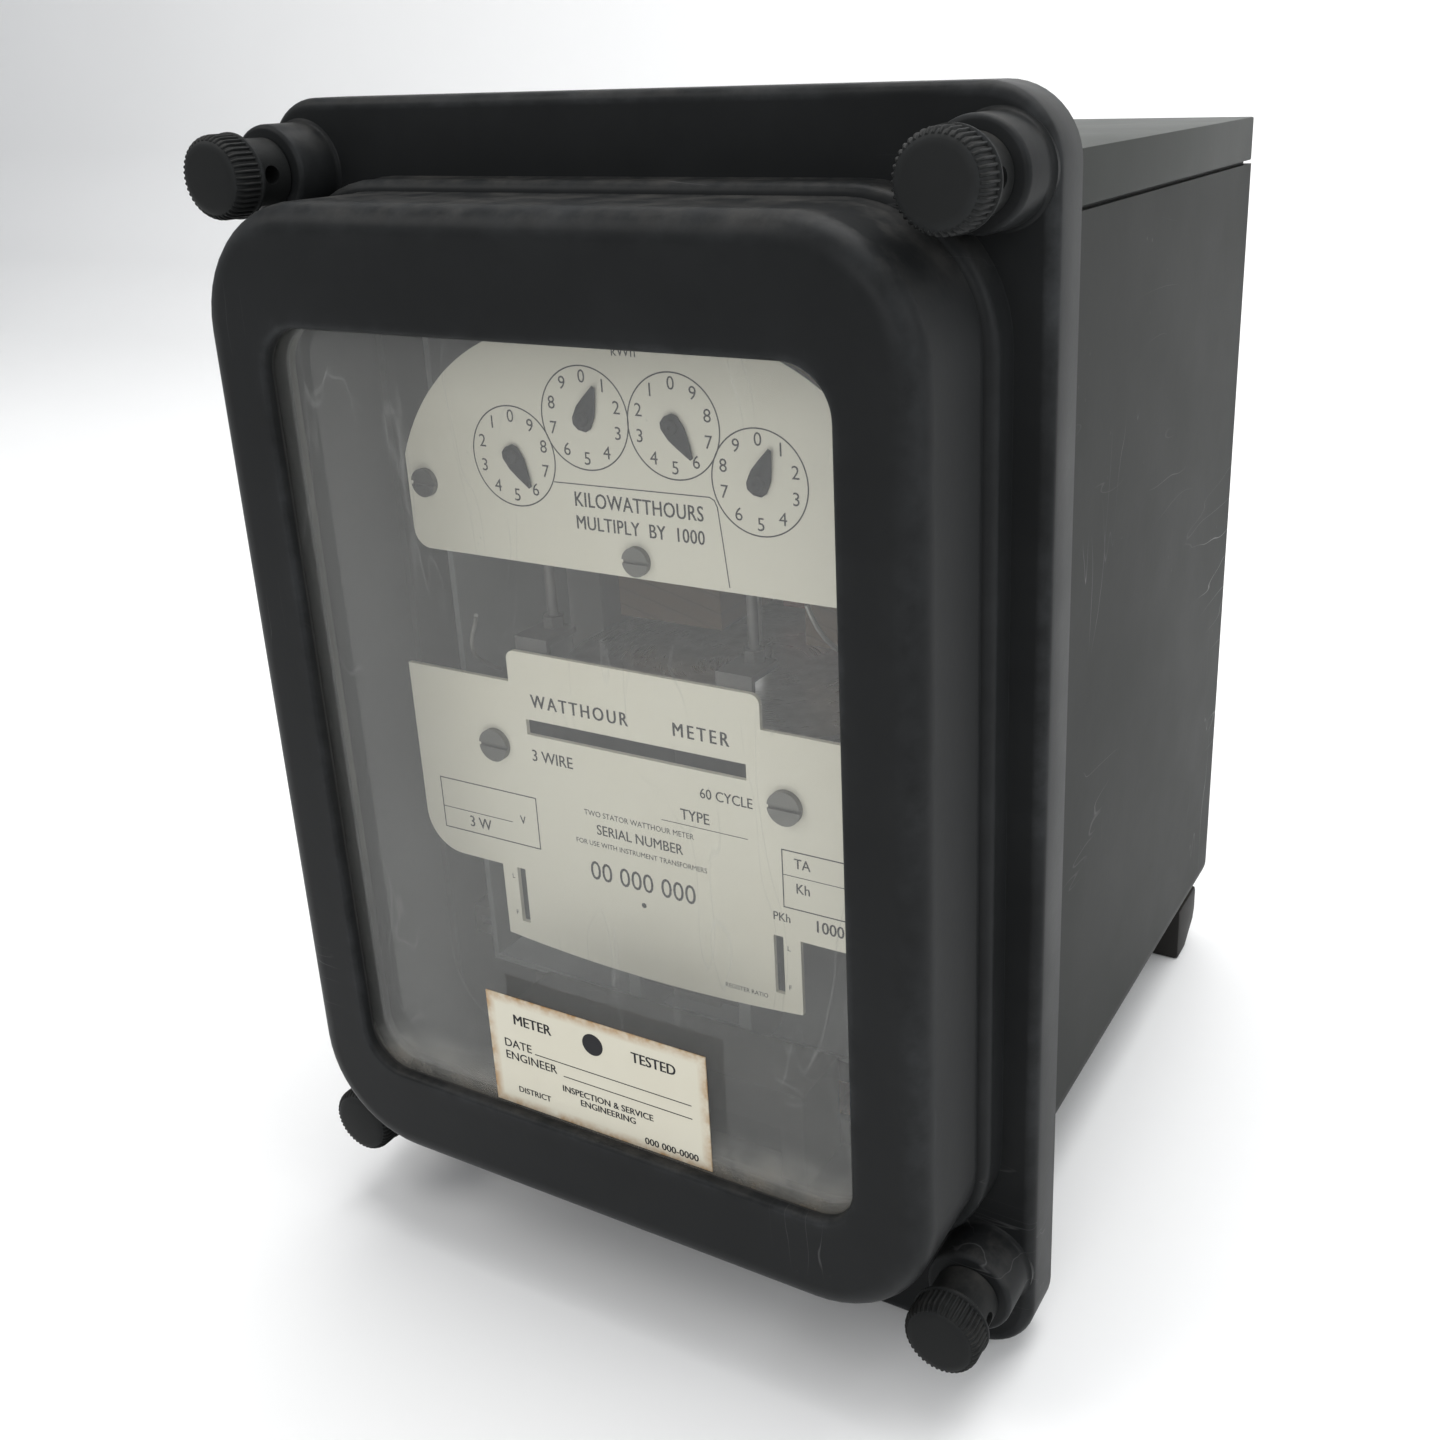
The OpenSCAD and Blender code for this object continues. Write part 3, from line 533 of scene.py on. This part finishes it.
def make_finishes():
    """Makes every material once; the keys are the record's slots, with a few more."""
    c = bpy.context.scene.meter_colours
    label_low, label_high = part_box("inspection_label")
    axis = (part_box("rotor_shaft")[0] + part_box("rotor_shaft")[1]) / 2
    finishes.update({
        "cover_moulding": moulding("Cover moulding", tuple(c.moulding), tuple(c.worn), 0.40),
        "knob_moulding": moulding("Knob moulding", tuple(c.knob), tuple(c.worn), 0.50),
        "phenolic": moulding("Block moulding", (0.02, 0.019, 0.018), (0.06, 0.06, 0.06), 0.5),
        "case_paint": enamel("Case enamel", tuple(c.case)),
        "cap": enamel("Cap enamel", tuple(k * 1.9 for k in c.case)),
        "screw": metal("Dull screw", (0.16, 0.16, 0.15), 0.5),
        # painted shade: a dark metal for nameplate_bracket and glass_retainer, standing for shade
        "shade_dark_metal": metal("Dull bracket", (0.10, 0.10, 0.10), 0.55),
        "frame_paint": enamel("Frame paint", tuple(c.works), 0.6, 0.2),
        "plate_paint": card("Plate enamel", tuple(c.plate)),
        "pointer_paint": enamel("Pointer paint", (0.016, 0.017, 0.02), 0.4, 0.0, 0.0),
        "glass": dusty_glass("Dusty glass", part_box("window_glass")[0]),
        "rubber": rubber("Gasket rubber"),
        "zinc": metal("Zinc plate", (0.36, 0.36, 0.34), 0.45),
        "brass": metal("Dull brass", (0.62, 0.48, 0.22), 0.36, 1.0, None, (0.22, 0.16, 0.08)),
        "copper": metal("Dull copper", (0.62, 0.32, 0.18), 0.4, 1.0, None, (0.2, 0.1, 0.06)),
        "coil_tape": windings("Coil tape", (0.16, 0.09, 0.035)),
        "laminations": laminations("Core sheets", (0.16, 0.16, 0.155)),
        "magnet": enamel("Magnet paint", (0.20, 0.045, 0.03), 0.5, 0.3),
        "aluminium": metal("Spun aluminium", (0.80, 0.80, 0.81), 0.28, 1.0, (axis.x, axis.y)),
        "paper": card("Label paper", tuple(c.paper), (0.35, 0.20, 0.08), 0.6,
                      ((label_low.x, label_low.z), (label_high.x, label_high.z))),
        "ink": enamel("Ink", tuple(c.ink), 0.55, 0.0, 0.0),
    })


# ---- operators ---------------------------------------------------------

class METER_OT_finishes(bpy.types.Operator):
    """Make the materials and put them on the CAD pieces that stay"""
    bl_idname = "meter.finishes"
    bl_label = "Finishes"

    def execute(self, context):
        make_finishes()
        for row in frame["record"]["subparts"]:
            piece = frame["nodes"][row["node"]]
            if not piece.data.materials:
                piece.data.materials.append(None)
            for i in range(len(piece.data.materials)):
                piece.data.materials[i] = finishes[SPECIAL.get(row["node"], row["material_slot"])]
        return {"FINISHED"}


# Outlines of the cover moulding in millimetres: width, height, corner radius, height of the middle
WINDOW = (119.4, 161.8, 9, 128.9)
BEZEL = (149.2, 205, 24, 129.5)
FLANGE = (168, 249, 13, 124.5)
BEZEL_FACE = 43.4        # distance of the bezel's front from the panel
FLANGE_FACE = 12         # and of the flange's front
BEAD = 2.2               # how far the bead round the bezel's foot stands out
BOSS_R = 9               # radius of the round boss behind each knob


def grown(outline, out, d):
    """A loop at depth d, grown outwards from a named outline; its corner radius grows with it."""
    w, h, r, cz = outline
    return round_loop(w + 2 * out, h + 2 * out, r + out, cz, d)


class METER_OT_cover(bpy.types.Operator):
    """Mould the cover with its rounded bezel, window lip, flange and knob bosses"""
    bl_idname = "meter.cover"
    bl_label = "Cover moulding"

    def execute(self, context):
        s = context.scene.meter_sizes
        rb, rf, rl = s.bezel_round / MM, s.flange_round / MM, s.lip_round / MM

        def window(out, d): return grown(WINDOW, out, d)
        def bezel(out, d): return grown(BEZEL, out, d)
        def flange(out, d): return grown(FLANGE, out, d)

        quarter = [math.radians(90 * i / 6) for i in range(7)]
        rows = [(window(4.3, 37), 0), (window(4.3, 41.3), 0), (window(0, 41.3), 0)]
        rows += [(window(rl * (1 - math.cos(t)), BEZEL_FACE - rl + rl * math.sin(t)), 0.9) for t in quarter]
        rows += [(window(rl + 0.8, BEZEL_FACE), 0.2), (window(rl + 3, BEZEL_FACE), 0.0),
                 (bezel(-rb - 3, BEZEL_FACE), 0.0), (bezel(-rb - 0.5, BEZEL_FACE), 0.1)]
        rows += [(bezel(-rb + rb * math.sin(t), BEZEL_FACE - rb + rb * math.cos(t)),
                  0.15 + 0.55 * math.sin(2 * t)) for t in quarter]
        rows += [(bezel(0, BEZEL_FACE - rb - 0.5), 0.1), (bezel(0, 19.7), 0), (bezel(0.15, 19.4), 0)]
        rows += [(bezel(0.15 + 2.05 * math.sin(t), 17.2 + 2.2 * math.cos(t)), 0.25) for t in quarter[1:]]
        rows += [(bezel(BEAD, 16.6), 0.1), (bezel(BEAD, 12.5), 0), (bezel(2.45, 12.05), 0)]
        rows += [(flange(-rf - 0.5, FLANGE_FACE), 0.1)]
        rows += [(flange(-rf + rf * math.sin(t), FLANGE_FACE - rf + rf * math.cos(t)), 0.9)
                 for t in quarter]
        rows += [(flange(0, 9), 0.05), (flange(0, 1), 0.1), (flange(-0.3, 0.15), 0.8),
                 (flange(-0.7, 0), 0.4), (flange(-2.5, 0), 0), (flange(-2.5, 3.2), 0),
                 (bezel(-4.4, 3.2), 0), (bezel(-4.4, 37), 0)]
        mesh = bmesh.new()
        skin(mesh, [r[0] for r in rows], True, [r[1] for r in rows])
        outwards(mesh)
        for name in KNOBS:
            x, z = knob_centre(name)
            boss = bmesh.new()
            turned(boss, [(2.9, 11), (2.9, 21.7), (3.2, 22), (8.0, 22), (8.5, 21.87), (8.87, 21.5),
                          (BOSS_R, 21), (BOSS_R, 13.2), (9.1, 12.6), (9.35, 12.2), (9.7, 12.0), (9.7, 11)],
                   x, z, 48, True, [0, 0, 0, 0.1, 0.8, 0.9, 0.5, 0, 0, 0, 0, 0])
            outwards(boss)
            join(mesh, boss)
        finished("cover_moulding", mesh, finishes["cover_moulding"], "cover",
                 ("cover_shell",), 38)
        return {"FINISHED"}


KNOBS = ("knob_top_left", "knob_top_right", "knob_bottom_left", "knob_bottom_right")


def knob_centre(name):
    low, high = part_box(name)
    return (low.x + high.x) / 2 / MM, (low.z + high.z) / 2 / MM


def drilled(mesh, x, d, z, r):
    """Bores a cross hole along X through a knob's neck."""
    body, cutter = bmesh.new(), bmesh.new()
    rings = []
    for side in (-9.0, 9.0):
        rings.append([cutter.verts.new(place(x + side, d + r * math.cos(t), z + r * math.sin(t)))
                      for t in (2 * math.pi * i / 32 for i in range(32))])
    for i in range(32):
        j = (i + 1) % 32
        cutter.faces.new((rings[0][i], rings[0][j], rings[1][j], rings[1][i]))
    cutter.faces.new(rings[0])
    cutter.faces.new(rings[1])
    outwards(cutter)
    holders = []
    for shape in (mesh, cutter):
        data = bpy.data.meshes.new("shape")
        shape.to_mesh(data)
        shape.free()
        holders.append(bpy.data.objects.new("shape", data))
        bpy.context.scene.collection.objects.link(holders[-1])
    cut = holders[0].modifiers.new("hole", "BOOLEAN")
    cut.object, cut.operation, cut.solver = holders[1], "DIFFERENCE", "EXACT"
    bpy.context.view_layer.update()
    made = bpy.data.meshes.new_from_object(holders[0].evaluated_get(
        bpy.context.evaluated_depsgraph_get()))
    for holder in holders:
        bpy.data.objects.remove(holder)
    body.from_mesh(made)
    bpy.data.meshes.remove(made)
    return body


def join(mesh, other):
    """Adds another bmesh to this one and frees it."""
    data = bpy.data.meshes.new("join")
    other.to_mesh(data)
    other.free()
    mesh.from_mesh(data)
    bpy.data.meshes.remove(data)


class METER_OT_knobs(bpy.types.Operator):
    """Turn the four thumb knobs and set the ribs round their grips"""
    bl_idname = "meter.knobs"
    bl_label = "Thumb knobs"

    def execute(self, context):
        s = context.scene.meter_sizes
        top = 7.8                                # radius over the ribs, in millimetres
        root = top - s.rib_height / MM
        hole_at, hole_r = 27.0, 1.75             # the hole for a sealing wire, across the neck
        for name in KNOBS:
            x, z = knob_centre(name)
            mesh = bmesh.new()
            turned(mesh, [(2.55, 22.1), (2.55, 33.4), (0.02, 33.5), (0.02, 36.62), (5.2, 36.55),
                          (6.1, 36.4), (6.7, 36.1), (7.1, 35.6), (root, 34.9), (root, 31.0),
                          (7.7, 30.85), (8.0, 30.6), (8.0, 30.2), (7.8, 30.0), (6.9, 29.9), (6.6, 29.6),
                          (6.6, 22.4), (6.3, 22.1)], x, z, 64, True,
                   [0, 0, 0, 0, 0.05, 0.3, 0.7, 0.6, 0.4, 0, 0, 0.6, 0.6, 0, 0, 0, 0, 0])
            bmesh.ops.remove_doubles(mesh, verts=mesh.verts, dist=0.00005)
            outwards(mesh)
            mesh = drilled(mesh, x, hole_at, z, hole_r)
            rib = bmesh.new()
            half = math.pi * top / s.ribs * 0.55 * MM
            outline = [(-half * 1.2, root * MM - 0.2 * MM), (-half * 0.75, (top - 0.15) * MM),
                       (-half * 0.3, top * MM), (half * 0.3, top * MM), (half * 0.75, (top - 0.15) * MM),
                       (half * 1.2, root * MM - 0.2 * MM)]
            levels = [(30.9, 1.0), (34.5, 1.0), (35.2, 0.98), (35.75, 0.94), (36.1, 0.90)]
            rows = [[rib.verts.new((v * k, u, d * MM)) for u, v in outline] for d, k in levels]
            for a, b in zip(rows, rows[1:]):
                for i in range(len(outline)):
                    j = (i + 1) % len(outline)
                    rib.faces.new((a[i], a[j], b[j], b[i]))
            rib.faces.new(rows[0])
            rib.faces.new(rows[-1])
            outwards(rib)
            ribs = ringed(rib, s.ribs, 0.0, finishes["knob_moulding"])
            ribs.transform(Matrix.Translation(Vector((x * MM, PANEL, z * MM)))
                           @ Matrix.Rotation(math.pi / 2, 4, "X"))
            mesh.from_mesh(ribs)
            layer = mesh.verts.layers.float.get("wear")
            for v in mesh.verts:
                if math.hypot(v.co.x - x * MM, v.co.z - z * MM) > (top - 0.1) * MM:
                    v[layer] = 0.8
            finished(name + "_grip", mesh, finishes["knob_moulding"], BODY_OF[name],
                     (name,), 40)
        return {"FINISHED"}


BODY_OF = {node: body for body, nodes in frame["record"]["behaviour"]["bodies"].items() for node in nodes}


def face_of(node):
    """How far a node's front stands before the panel, in millimetres."""
    return (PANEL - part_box(node)[0].y) / MM


DIALS = ("thousands_pointer", "hundreds_pointer", "tens_pointer", "units_pointer")
DIAL_AT = ((-28.2, 181), (-10.1, 190), (10.1, 190), (28.2, 181))


class METER_OT_dial_print(bpy.types.Operator):
    """Print the dial plate: circles, numerals and the unit"""
    bl_idname = "meter.dial_print"
    bl_label = "Dial plate print"

    def execute(self, context):
        s = context.scene.meter_sizes
        d, lift = face_of("dial_plate"), s.ink_lift / MM
        mesh = bmesh.new()
        for k, (x, z) in enumerate(DIAL_AT):
            band(mesh, x, z, 10.15, 0.28, d, lift)
            sense = -1 if k % 2 == 0 else 1
            for n in range(10):
                a = math.radians(36 * n * sense)
                lettering(mesh, str(n), x + 8.0 * math.sin(a), z + 8.0 * math.cos(a), s.numeral / MM * 0.78,
                          d, lift)
        lettering(mesh, "KILOWATTHOURS", 0.8, 173.6, 3.0, d, lift, stretch=0.80, weight=0.05, space=1.05)
        lettering(mesh, "MULTIPLY  BY  1000", 0.8, 168.9, 2.8, d, lift, stretch=0.82, weight=0.05,
                  space=1.05)
        lettering(mesh, "kWh", 0, 203.3, 2.0, d, lift)
        stroke(mesh, [(-18.6, 176.7), (17.3, 177.2), (18.3, 176.7), (18.9, 175.4), (19.8, 168.0),
                      (20.7, 160.0)], 0.22, d, lift)
        finished("dial_print", mesh, finishes["ink"], "cradle")
        return {"FINISHED"}


class METER_OT_pointers(bpy.types.Operator):
    """Fold the four dial pointers out of thin sheet"""
    bl_idname = "meter.pointers"
    bl_label = "Pointers"

    def execute(self, context):
        for node, (x, z) in zip(DIALS, DIAL_AT):
            front, back = face_of(node), (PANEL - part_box(node)[1].y) / MM
            reaches = [Vector((v.co.x - x * MM, v.co.z - z * MM))
                       for v in frame["nodes"][node].data.vertices]
            along = max(reaches, key=lambda reach: reach.length).normalized()
            side = Vector((along.y, -along.x))
            outline = [(-2.3, -1.0), (-1.6, -2.05), (0, -2.4), (1.6, -2.05), (2.3, -1.0), (2.25, 1.6),
                       (1.5, 4.0), (0.35, 7.1), (-0.35, 7.1), (-1.5, 4.0), (-2.25, 1.6)]
            mesh = bmesh.new()

            def at(u, v, d): return mesh.verts.new(place(x + side.x * u + along.x * v, d,
                                                         z + side.y * u + along.y * v))
            sheet, foot = front - 0.85, front - 1.05
            upper = [at(u, v, sheet - 0.28 * abs(u) / 2.3) for u, v in outline]
            lower = [at(u, v, foot - 0.28 * abs(u) / 2.3) for u, v in outline]
            ridge = [at(0, v, sheet + 0.18) for v in (-1.6, 1.6, 4.0)]
            under = at(0, 1.5, foot)
            for i, j in zip(range(len(outline)), list(range(1, len(outline))) + [0]):
                mesh.faces.new((upper[i], lower[i], lower[j], upper[j]))
                mesh.faces.new((lower[i], under, lower[j]))
            a, b, c = ridge
            for face in ((upper[2], upper[3], a), (upper[3], upper[4], a), (upper[4], upper[5], b, a),
                         (upper[5], upper[6], c, b), (upper[6], upper[7], c), (upper[7], upper[8], c),
                         (upper[8], upper[9], c), (upper[9], upper[10], b, c), (upper[10], upper[0], a, b),
                         (upper[0], upper[1], a), (upper[1], upper[2], a)):
                mesh.faces.new(face)
            outwards(mesh)
            hub = bmesh.new()
            turned(hub, [(0.02, back), (1.5, back), (1.5, front - 0.35), (1.3, front - 0.12),
                         (0.8, front), (0.02, front)], x, z, 24)
            bmesh.ops.remove_doubles(hub, verts=hub.verts, dist=0.00004)
            outwards(hub)
            join(mesh, hub)
            finished(node + "_blade", mesh, finishes["pointer_paint"], BODY_OF[node],
                     (node,), 18)
        return {"FINISHED"}


class METER_OT_name_print(bpy.types.Operator):
    """Print the nameplate with generic words, boxes and numbers"""
    bl_idname = "meter.name_print"
    bl_label = "Nameplate print"

    def execute(self, context):
        d, lift = face_of("nameplate"), context.scene.meter_sizes.ink_lift / MM
        mesh = bmesh.new()
        lettering(mesh, "WATTHOUR", -12.6, 131.4, 2.9, d, lift, stretch=0.85, weight=0.08, space=1.3)
        lettering(mesh, "METER", 16.4, 131.4, 2.9, d, lift, stretch=0.85, weight=0.08, space=1.35)
        rows = [("3 WIRE", -20.5, 119.0, 2.6, 0.9, 0.04),
                ("TYPE", 14, 113.2, 2.4, 0.9, 0.04), ("60 CYCLE", 21.5, 118.8, 2.2, 0.9, 0.03),
                ("TWO STATOR WATTHOUR METER", 0, 108.6, 1.25, 0.95, 0.0),
                ("SERIAL NUMBER", 0, 105.0, 2.3, 0.9, 0.03),
                ("FOR USE WITH INSTRUMENT TRANSFORMERS", 0, 101.6, 1.15, 0.95, 0.0),
                ("00 000 000", 0, 95.0, 4.4, 0.92, 0.0), ("3 W", -42, 99.6, 2.6, 0.9, 0.04),
                ("V", -30, 103.0, 1.9, 0.9, 0.03), ("TA", 38, 108.0, 2.2, 0.9, 0.03),
                ("5", 48, 108.0, 2.8, 0.9, 0.05), ("Kh", 38, 102.6, 2.2, 0.9, 0.03),
                ("1.0", 49, 102.6, 2.8, 0.9, 0.05), ("PKh", 33, 95.4, 1.9, 0.9, 0.03),
                ("1000", 43.5, 95.2, 2.6, 0.9, 0.05), ("REGISTER RATIO", 24, 76.2, 1.0, 0.95, 0.0)]
        for words, x, z, height, stretch, weight in rows:
            lettering(mesh, words, x, z, height, d, lift, stretch=stretch, weight=weight)
        for box in (((-52, 97), (-52, 109), (-26, 109), (-26, 97), (-52, 97)),
                    ((56.6, 98), (33.6, 98), (33.6, 110.6), (56.6, 110.6))):
            stroke(mesh, box, 0.25, d, lift)
        stroke(mesh, ((-52, 102), (-33, 102)), 0.18, d, lift)
        stroke(mesh, ((33.6, 105.2), (56.6, 105.2)), 0.15, d, lift)
        stroke(mesh, ((6, 111.0), (26, 111.0)), 0.15, d, lift)
        turned(mesh, [(0.02, d), (0.02, d + lift), (0.6, d + lift), (0.6, d)], 0, 89.8, 16)
        for side in (-1, 1):
            for words, z in (("L", 88.6), ("F", 79.6)):
                lettering(mesh, words, side * 34.3, z, 1.1, d, lift)
        finished("name_print", mesh, finishes["ink"], "cradle")
        return {"FINISHED"}


class METER_OT_label_print(bpy.types.Operator):
    """Print the inspection label with generic words and ruled lines"""
    bl_idname = "meter.label_print"
    bl_label = "Label print"

    def execute(self, context):
        d, lift = face_of("inspection_label"), context.scene.meter_sizes.ink_lift / MM
        mesh = bmesh.new()
        for words, x, z, height, anchor, stretch, weight in (
                ("METER", -19.5, 69.6, 2.4, "LEFT", 0.95, 0.08),
                ("TESTED", 20.5, 69.6, 2.4, "RIGHT", 0.9, 0.08),
                ("DATE", -22.5, 63.4, 2.0, "LEFT", 1.0, 0.03),
                ("ENGINEER", -22.5, 60.4, 2.0, "LEFT", 1.0, 0.03),
                ("INSPECTION & SERVICE", 3, 56.4, 1.5, "CENTER", 1.0, 0.05),
                ("ENGINEERING", 3, 54.2, 1.5, "CENTER", 1.0, 0.05),
                ("DISTRICT", -20, 52.4, 1.4, "LEFT", 1.0, 0.04),
                ("000 000-0000", 24.5, 50.3, 1.6, "RIGHT", 1.0, 0.05)):
            lettering(mesh, words, x, z, height, d, lift, anchor, stretch, weight)
        stroke(mesh, ((-14.5, 62.6), (23.5, 62.6)), 0.2, d, lift)
        stroke(mesh, ((-7.5, 59.5), (23.5, 59.5)), 0.2, d, lift)
        turned(mesh, [(0.02, d), (0.02, d + lift), (2.5, d + lift), (2.5, d)], 0.6, 69.6, 32)
        finished("label_print", mesh, finishes["ink"], "cover")
        return {"FINISHED"}


class METER_OT_case(bpy.types.Operator):
    """Round the edges of the steel case, its cap and feet, and the blocks behind it"""
    bl_idname = "meter.case"
    bl_label = "Case"

    def execute(self, context):
        r = context.scene.meter_sizes.sheet_round
        for node, width in (("case_top_cap", r), ("rear_feet", 1.2 * MM),
                            ("terminal_block", 0.8 * MM), ("plug_body", 0.8 * MM)):
            slot = next(p["material_slot"] for p in frame["record"]["subparts"] if p["node"] == node)
            finish = finishes["cap" if node == "case_top_cap" else slot]
            softened(node, node + "_finished", width, finish, BODY_OF[node])
        return {"FINISHED"}


class METER_OT_wires(bpy.types.Operator):
    """Add the small leads that show between the dial plate and the nameplate"""
    bl_idname = "meter.wires"
    bl_label = "Leads"

    def execute(self, context):
        for name, points, r in (
                ("left_lead", ((-36.5, 19, 148.5), (-38.5, 17, 146.5), (-41.5, 16, 141.0), (-42.5, 14, 136),
                               (-43, 6, 131)), 0.45),
                ("right_lead", ((36, 10, 158), (37, 8, 152), (40, 3, 146), (44, -2, 140),
                                (45, -8, 133)), 0.5)):
            curve = bpy.data.curves.new(name, "CURVE")
            curve.dimensions = "3D"
            curve.bevel_depth = r * MM
            curve.bevel_resolution = 3
            curve.use_fill_caps = True
            line = curve.splines.new("NURBS")
            line.points.add(len(points) - 1)
            for p, (x, d, z) in zip(line.points, points):
                p.co = (*place(x, d, z), 1)
            line.use_endpoint_u = True
            line.order_u = 3
            holder = bpy.data.objects.new(name, curve)
            bpy.context.scene.collection.objects.link(holder)
            data = bpy.data.meshes.new_from_object(holder.evaluated_get(
                bpy.context.evaluated_depsgraph_get()))
            bpy.data.objects.remove(holder)
            mesh = bmesh.new()
            mesh.from_mesh(data)
            outwards(mesh)
            finished(name, mesh, finishes["zinc"], "cradle")
        return {"FINISHED"}


class METER_OT_stage(bpy.types.Operator):
    """Set up the floor, the lights and the camera"""
    bl_idname = "meter.stage"
    bl_label = "Stage"

    def execute(self, context):
        scene = context.scene
        mesh = bmesh.new()
        profile = [(-1.6, 0.0), (0.55, 0.0), (0.75, 0.01), (0.92, 0.06), (1.03, 0.18), (1.06, 0.4),
                   (1.06, 2.2)]
        rows = [[mesh.verts.new((x, y, z)) for y, z in profile] for x in (-2.4, 2.4)]
        for a, b, c, d in zip(rows[0], rows[0][1:], rows[1][1:], rows[1]):
            mesh.faces.new((a, d, c, b))
        data = bpy.data.meshes.new("floor")
        mesh.to_mesh(data)
        mesh.free()
        data.shade_smooth()
        f = Finish("Pale floor")
        tone = f.mix(f.noise(3, 3), (0.86, 0.86, 0.855), (0.91, 0.91, 0.905))
        data.materials.append(f.surface({"Base Color": tone, "Roughness": 0.65}))
        floor = bpy.data.objects.new("floor", data)
        scene.collection.objects.link(floor)

        middle = (CAD_BOX[0] + CAD_BOX[1]) / 2
        for name, at, wide, high, power, tint in (
                ("key", (-0.95, -0.85, 1.25), 0.9, 0.9, 8, (1, 0.985, 0.96)),
                ("side", (1.55, -0.15, 0.75), 0.9, 1.0, 8, (0.98, 0.99, 1)),
                ("top", (0.1, 0.2, 1.6), 1.2, 1.2, 22, (1, 1, 1)),
                ("front", (0.35, -1.5, 0.75), 0.8, 0.5, 6, (1, 1, 1))):
            lamp = bpy.data.lights.new(name, "AREA")
            lamp.shape, lamp.size, lamp.size_y = "RECTANGLE", wide, high
            lamp.energy, lamp.color = power, tint
            holder = bpy.data.objects.new(name, lamp)
            holder.location = at
            holder.rotation_euler = (middle - Vector(at)).to_track_quat("-Z", "Y").to_euler()
            scene.collection.objects.link(holder)
        world = bpy.data.worlds.new("studio")
        world.use_nodes = True
        world.node_tree.nodes["Background"].inputs[0].default_value = (0.92, 0.95, 1, 1)
        world.node_tree.nodes["Background"].inputs[1].default_value = 0.40
        scene.world = world
        scene.view_settings.view_transform = "Standard"

        lens = bpy.data.cameras.new("camera")
        lens.sensor_width, lens.lens = 36, 38.52     # millimetres
        lens.shift_x, lens.shift_y = -0.0609, -0.0581
        lens.clip_start, lens.clip_end = 0.01, 20
        camera = bpy.data.objects.new("camera", lens)
        az, el, roll = (math.radians(a) for a in (29.15, 20.34, -1.93))
        back = Vector((math.sin(az) * math.cos(el), -math.cos(az) * math.cos(el), math.sin(el)))
        right = (-back).cross(Vector((0, 0, 1))).normalized()
        up = right.cross(-back)
        right, up = (right * math.cos(roll) + up * math.sin(roll),
                     up * math.cos(roll) - right * math.sin(roll))
        turn = Matrix((right, up, back)).transposed()
        camera.matrix_world = Matrix.Translation(place(167.8, 246.3, 252.0)) @ turn.to_4x4()
        scene.collection.objects.link(camera)
        scene.camera = camera
        return {"FINISHED"}


class METER_PT_panel(bpy.types.Panel):
    """Lists the meter's sizes, colours and steps"""
    bl_label = "Watthour meter"
    bl_idname = "METER_PT_panel"
    bl_space_type = "VIEW_3D"
    bl_region_type = "UI"
    bl_category = "Meter"

    def draw(self, context):
        for group in (context.scene.meter_sizes, context.scene.meter_colours):
            for key in group.__annotations__:
                self.layout.prop(group, key)
        for step in STEPS:
            self.layout.operator(step.bl_idname)


STEPS = (METER_OT_finishes, METER_OT_cover, METER_OT_knobs, METER_OT_dial_print, METER_OT_pointers,
         METER_OT_name_print, METER_OT_label_print, METER_OT_case, METER_OT_wires, METER_OT_stage)
CLASSES = (MeterSizes, MeterColours, *STEPS, METER_PT_panel)


def register():
    for cls in CLASSES:
        bpy.utils.register_class(cls)
    bpy.types.Scene.meter_sizes = PointerProperty(type=MeterSizes)
    bpy.types.Scene.meter_colours = PointerProperty(type=MeterColours)


def unregister():
    del bpy.types.Scene.meter_colours
    del bpy.types.Scene.meter_sizes
    for cls in reversed(CLASSES):
        bpy.utils.unregister_class(cls)


def main():
    register()
    for step in STEPS:
        group, name = step.bl_idname.split(".")
        getattr(getattr(bpy.ops, group), name)()


if __name__ == "__main__":
    main()
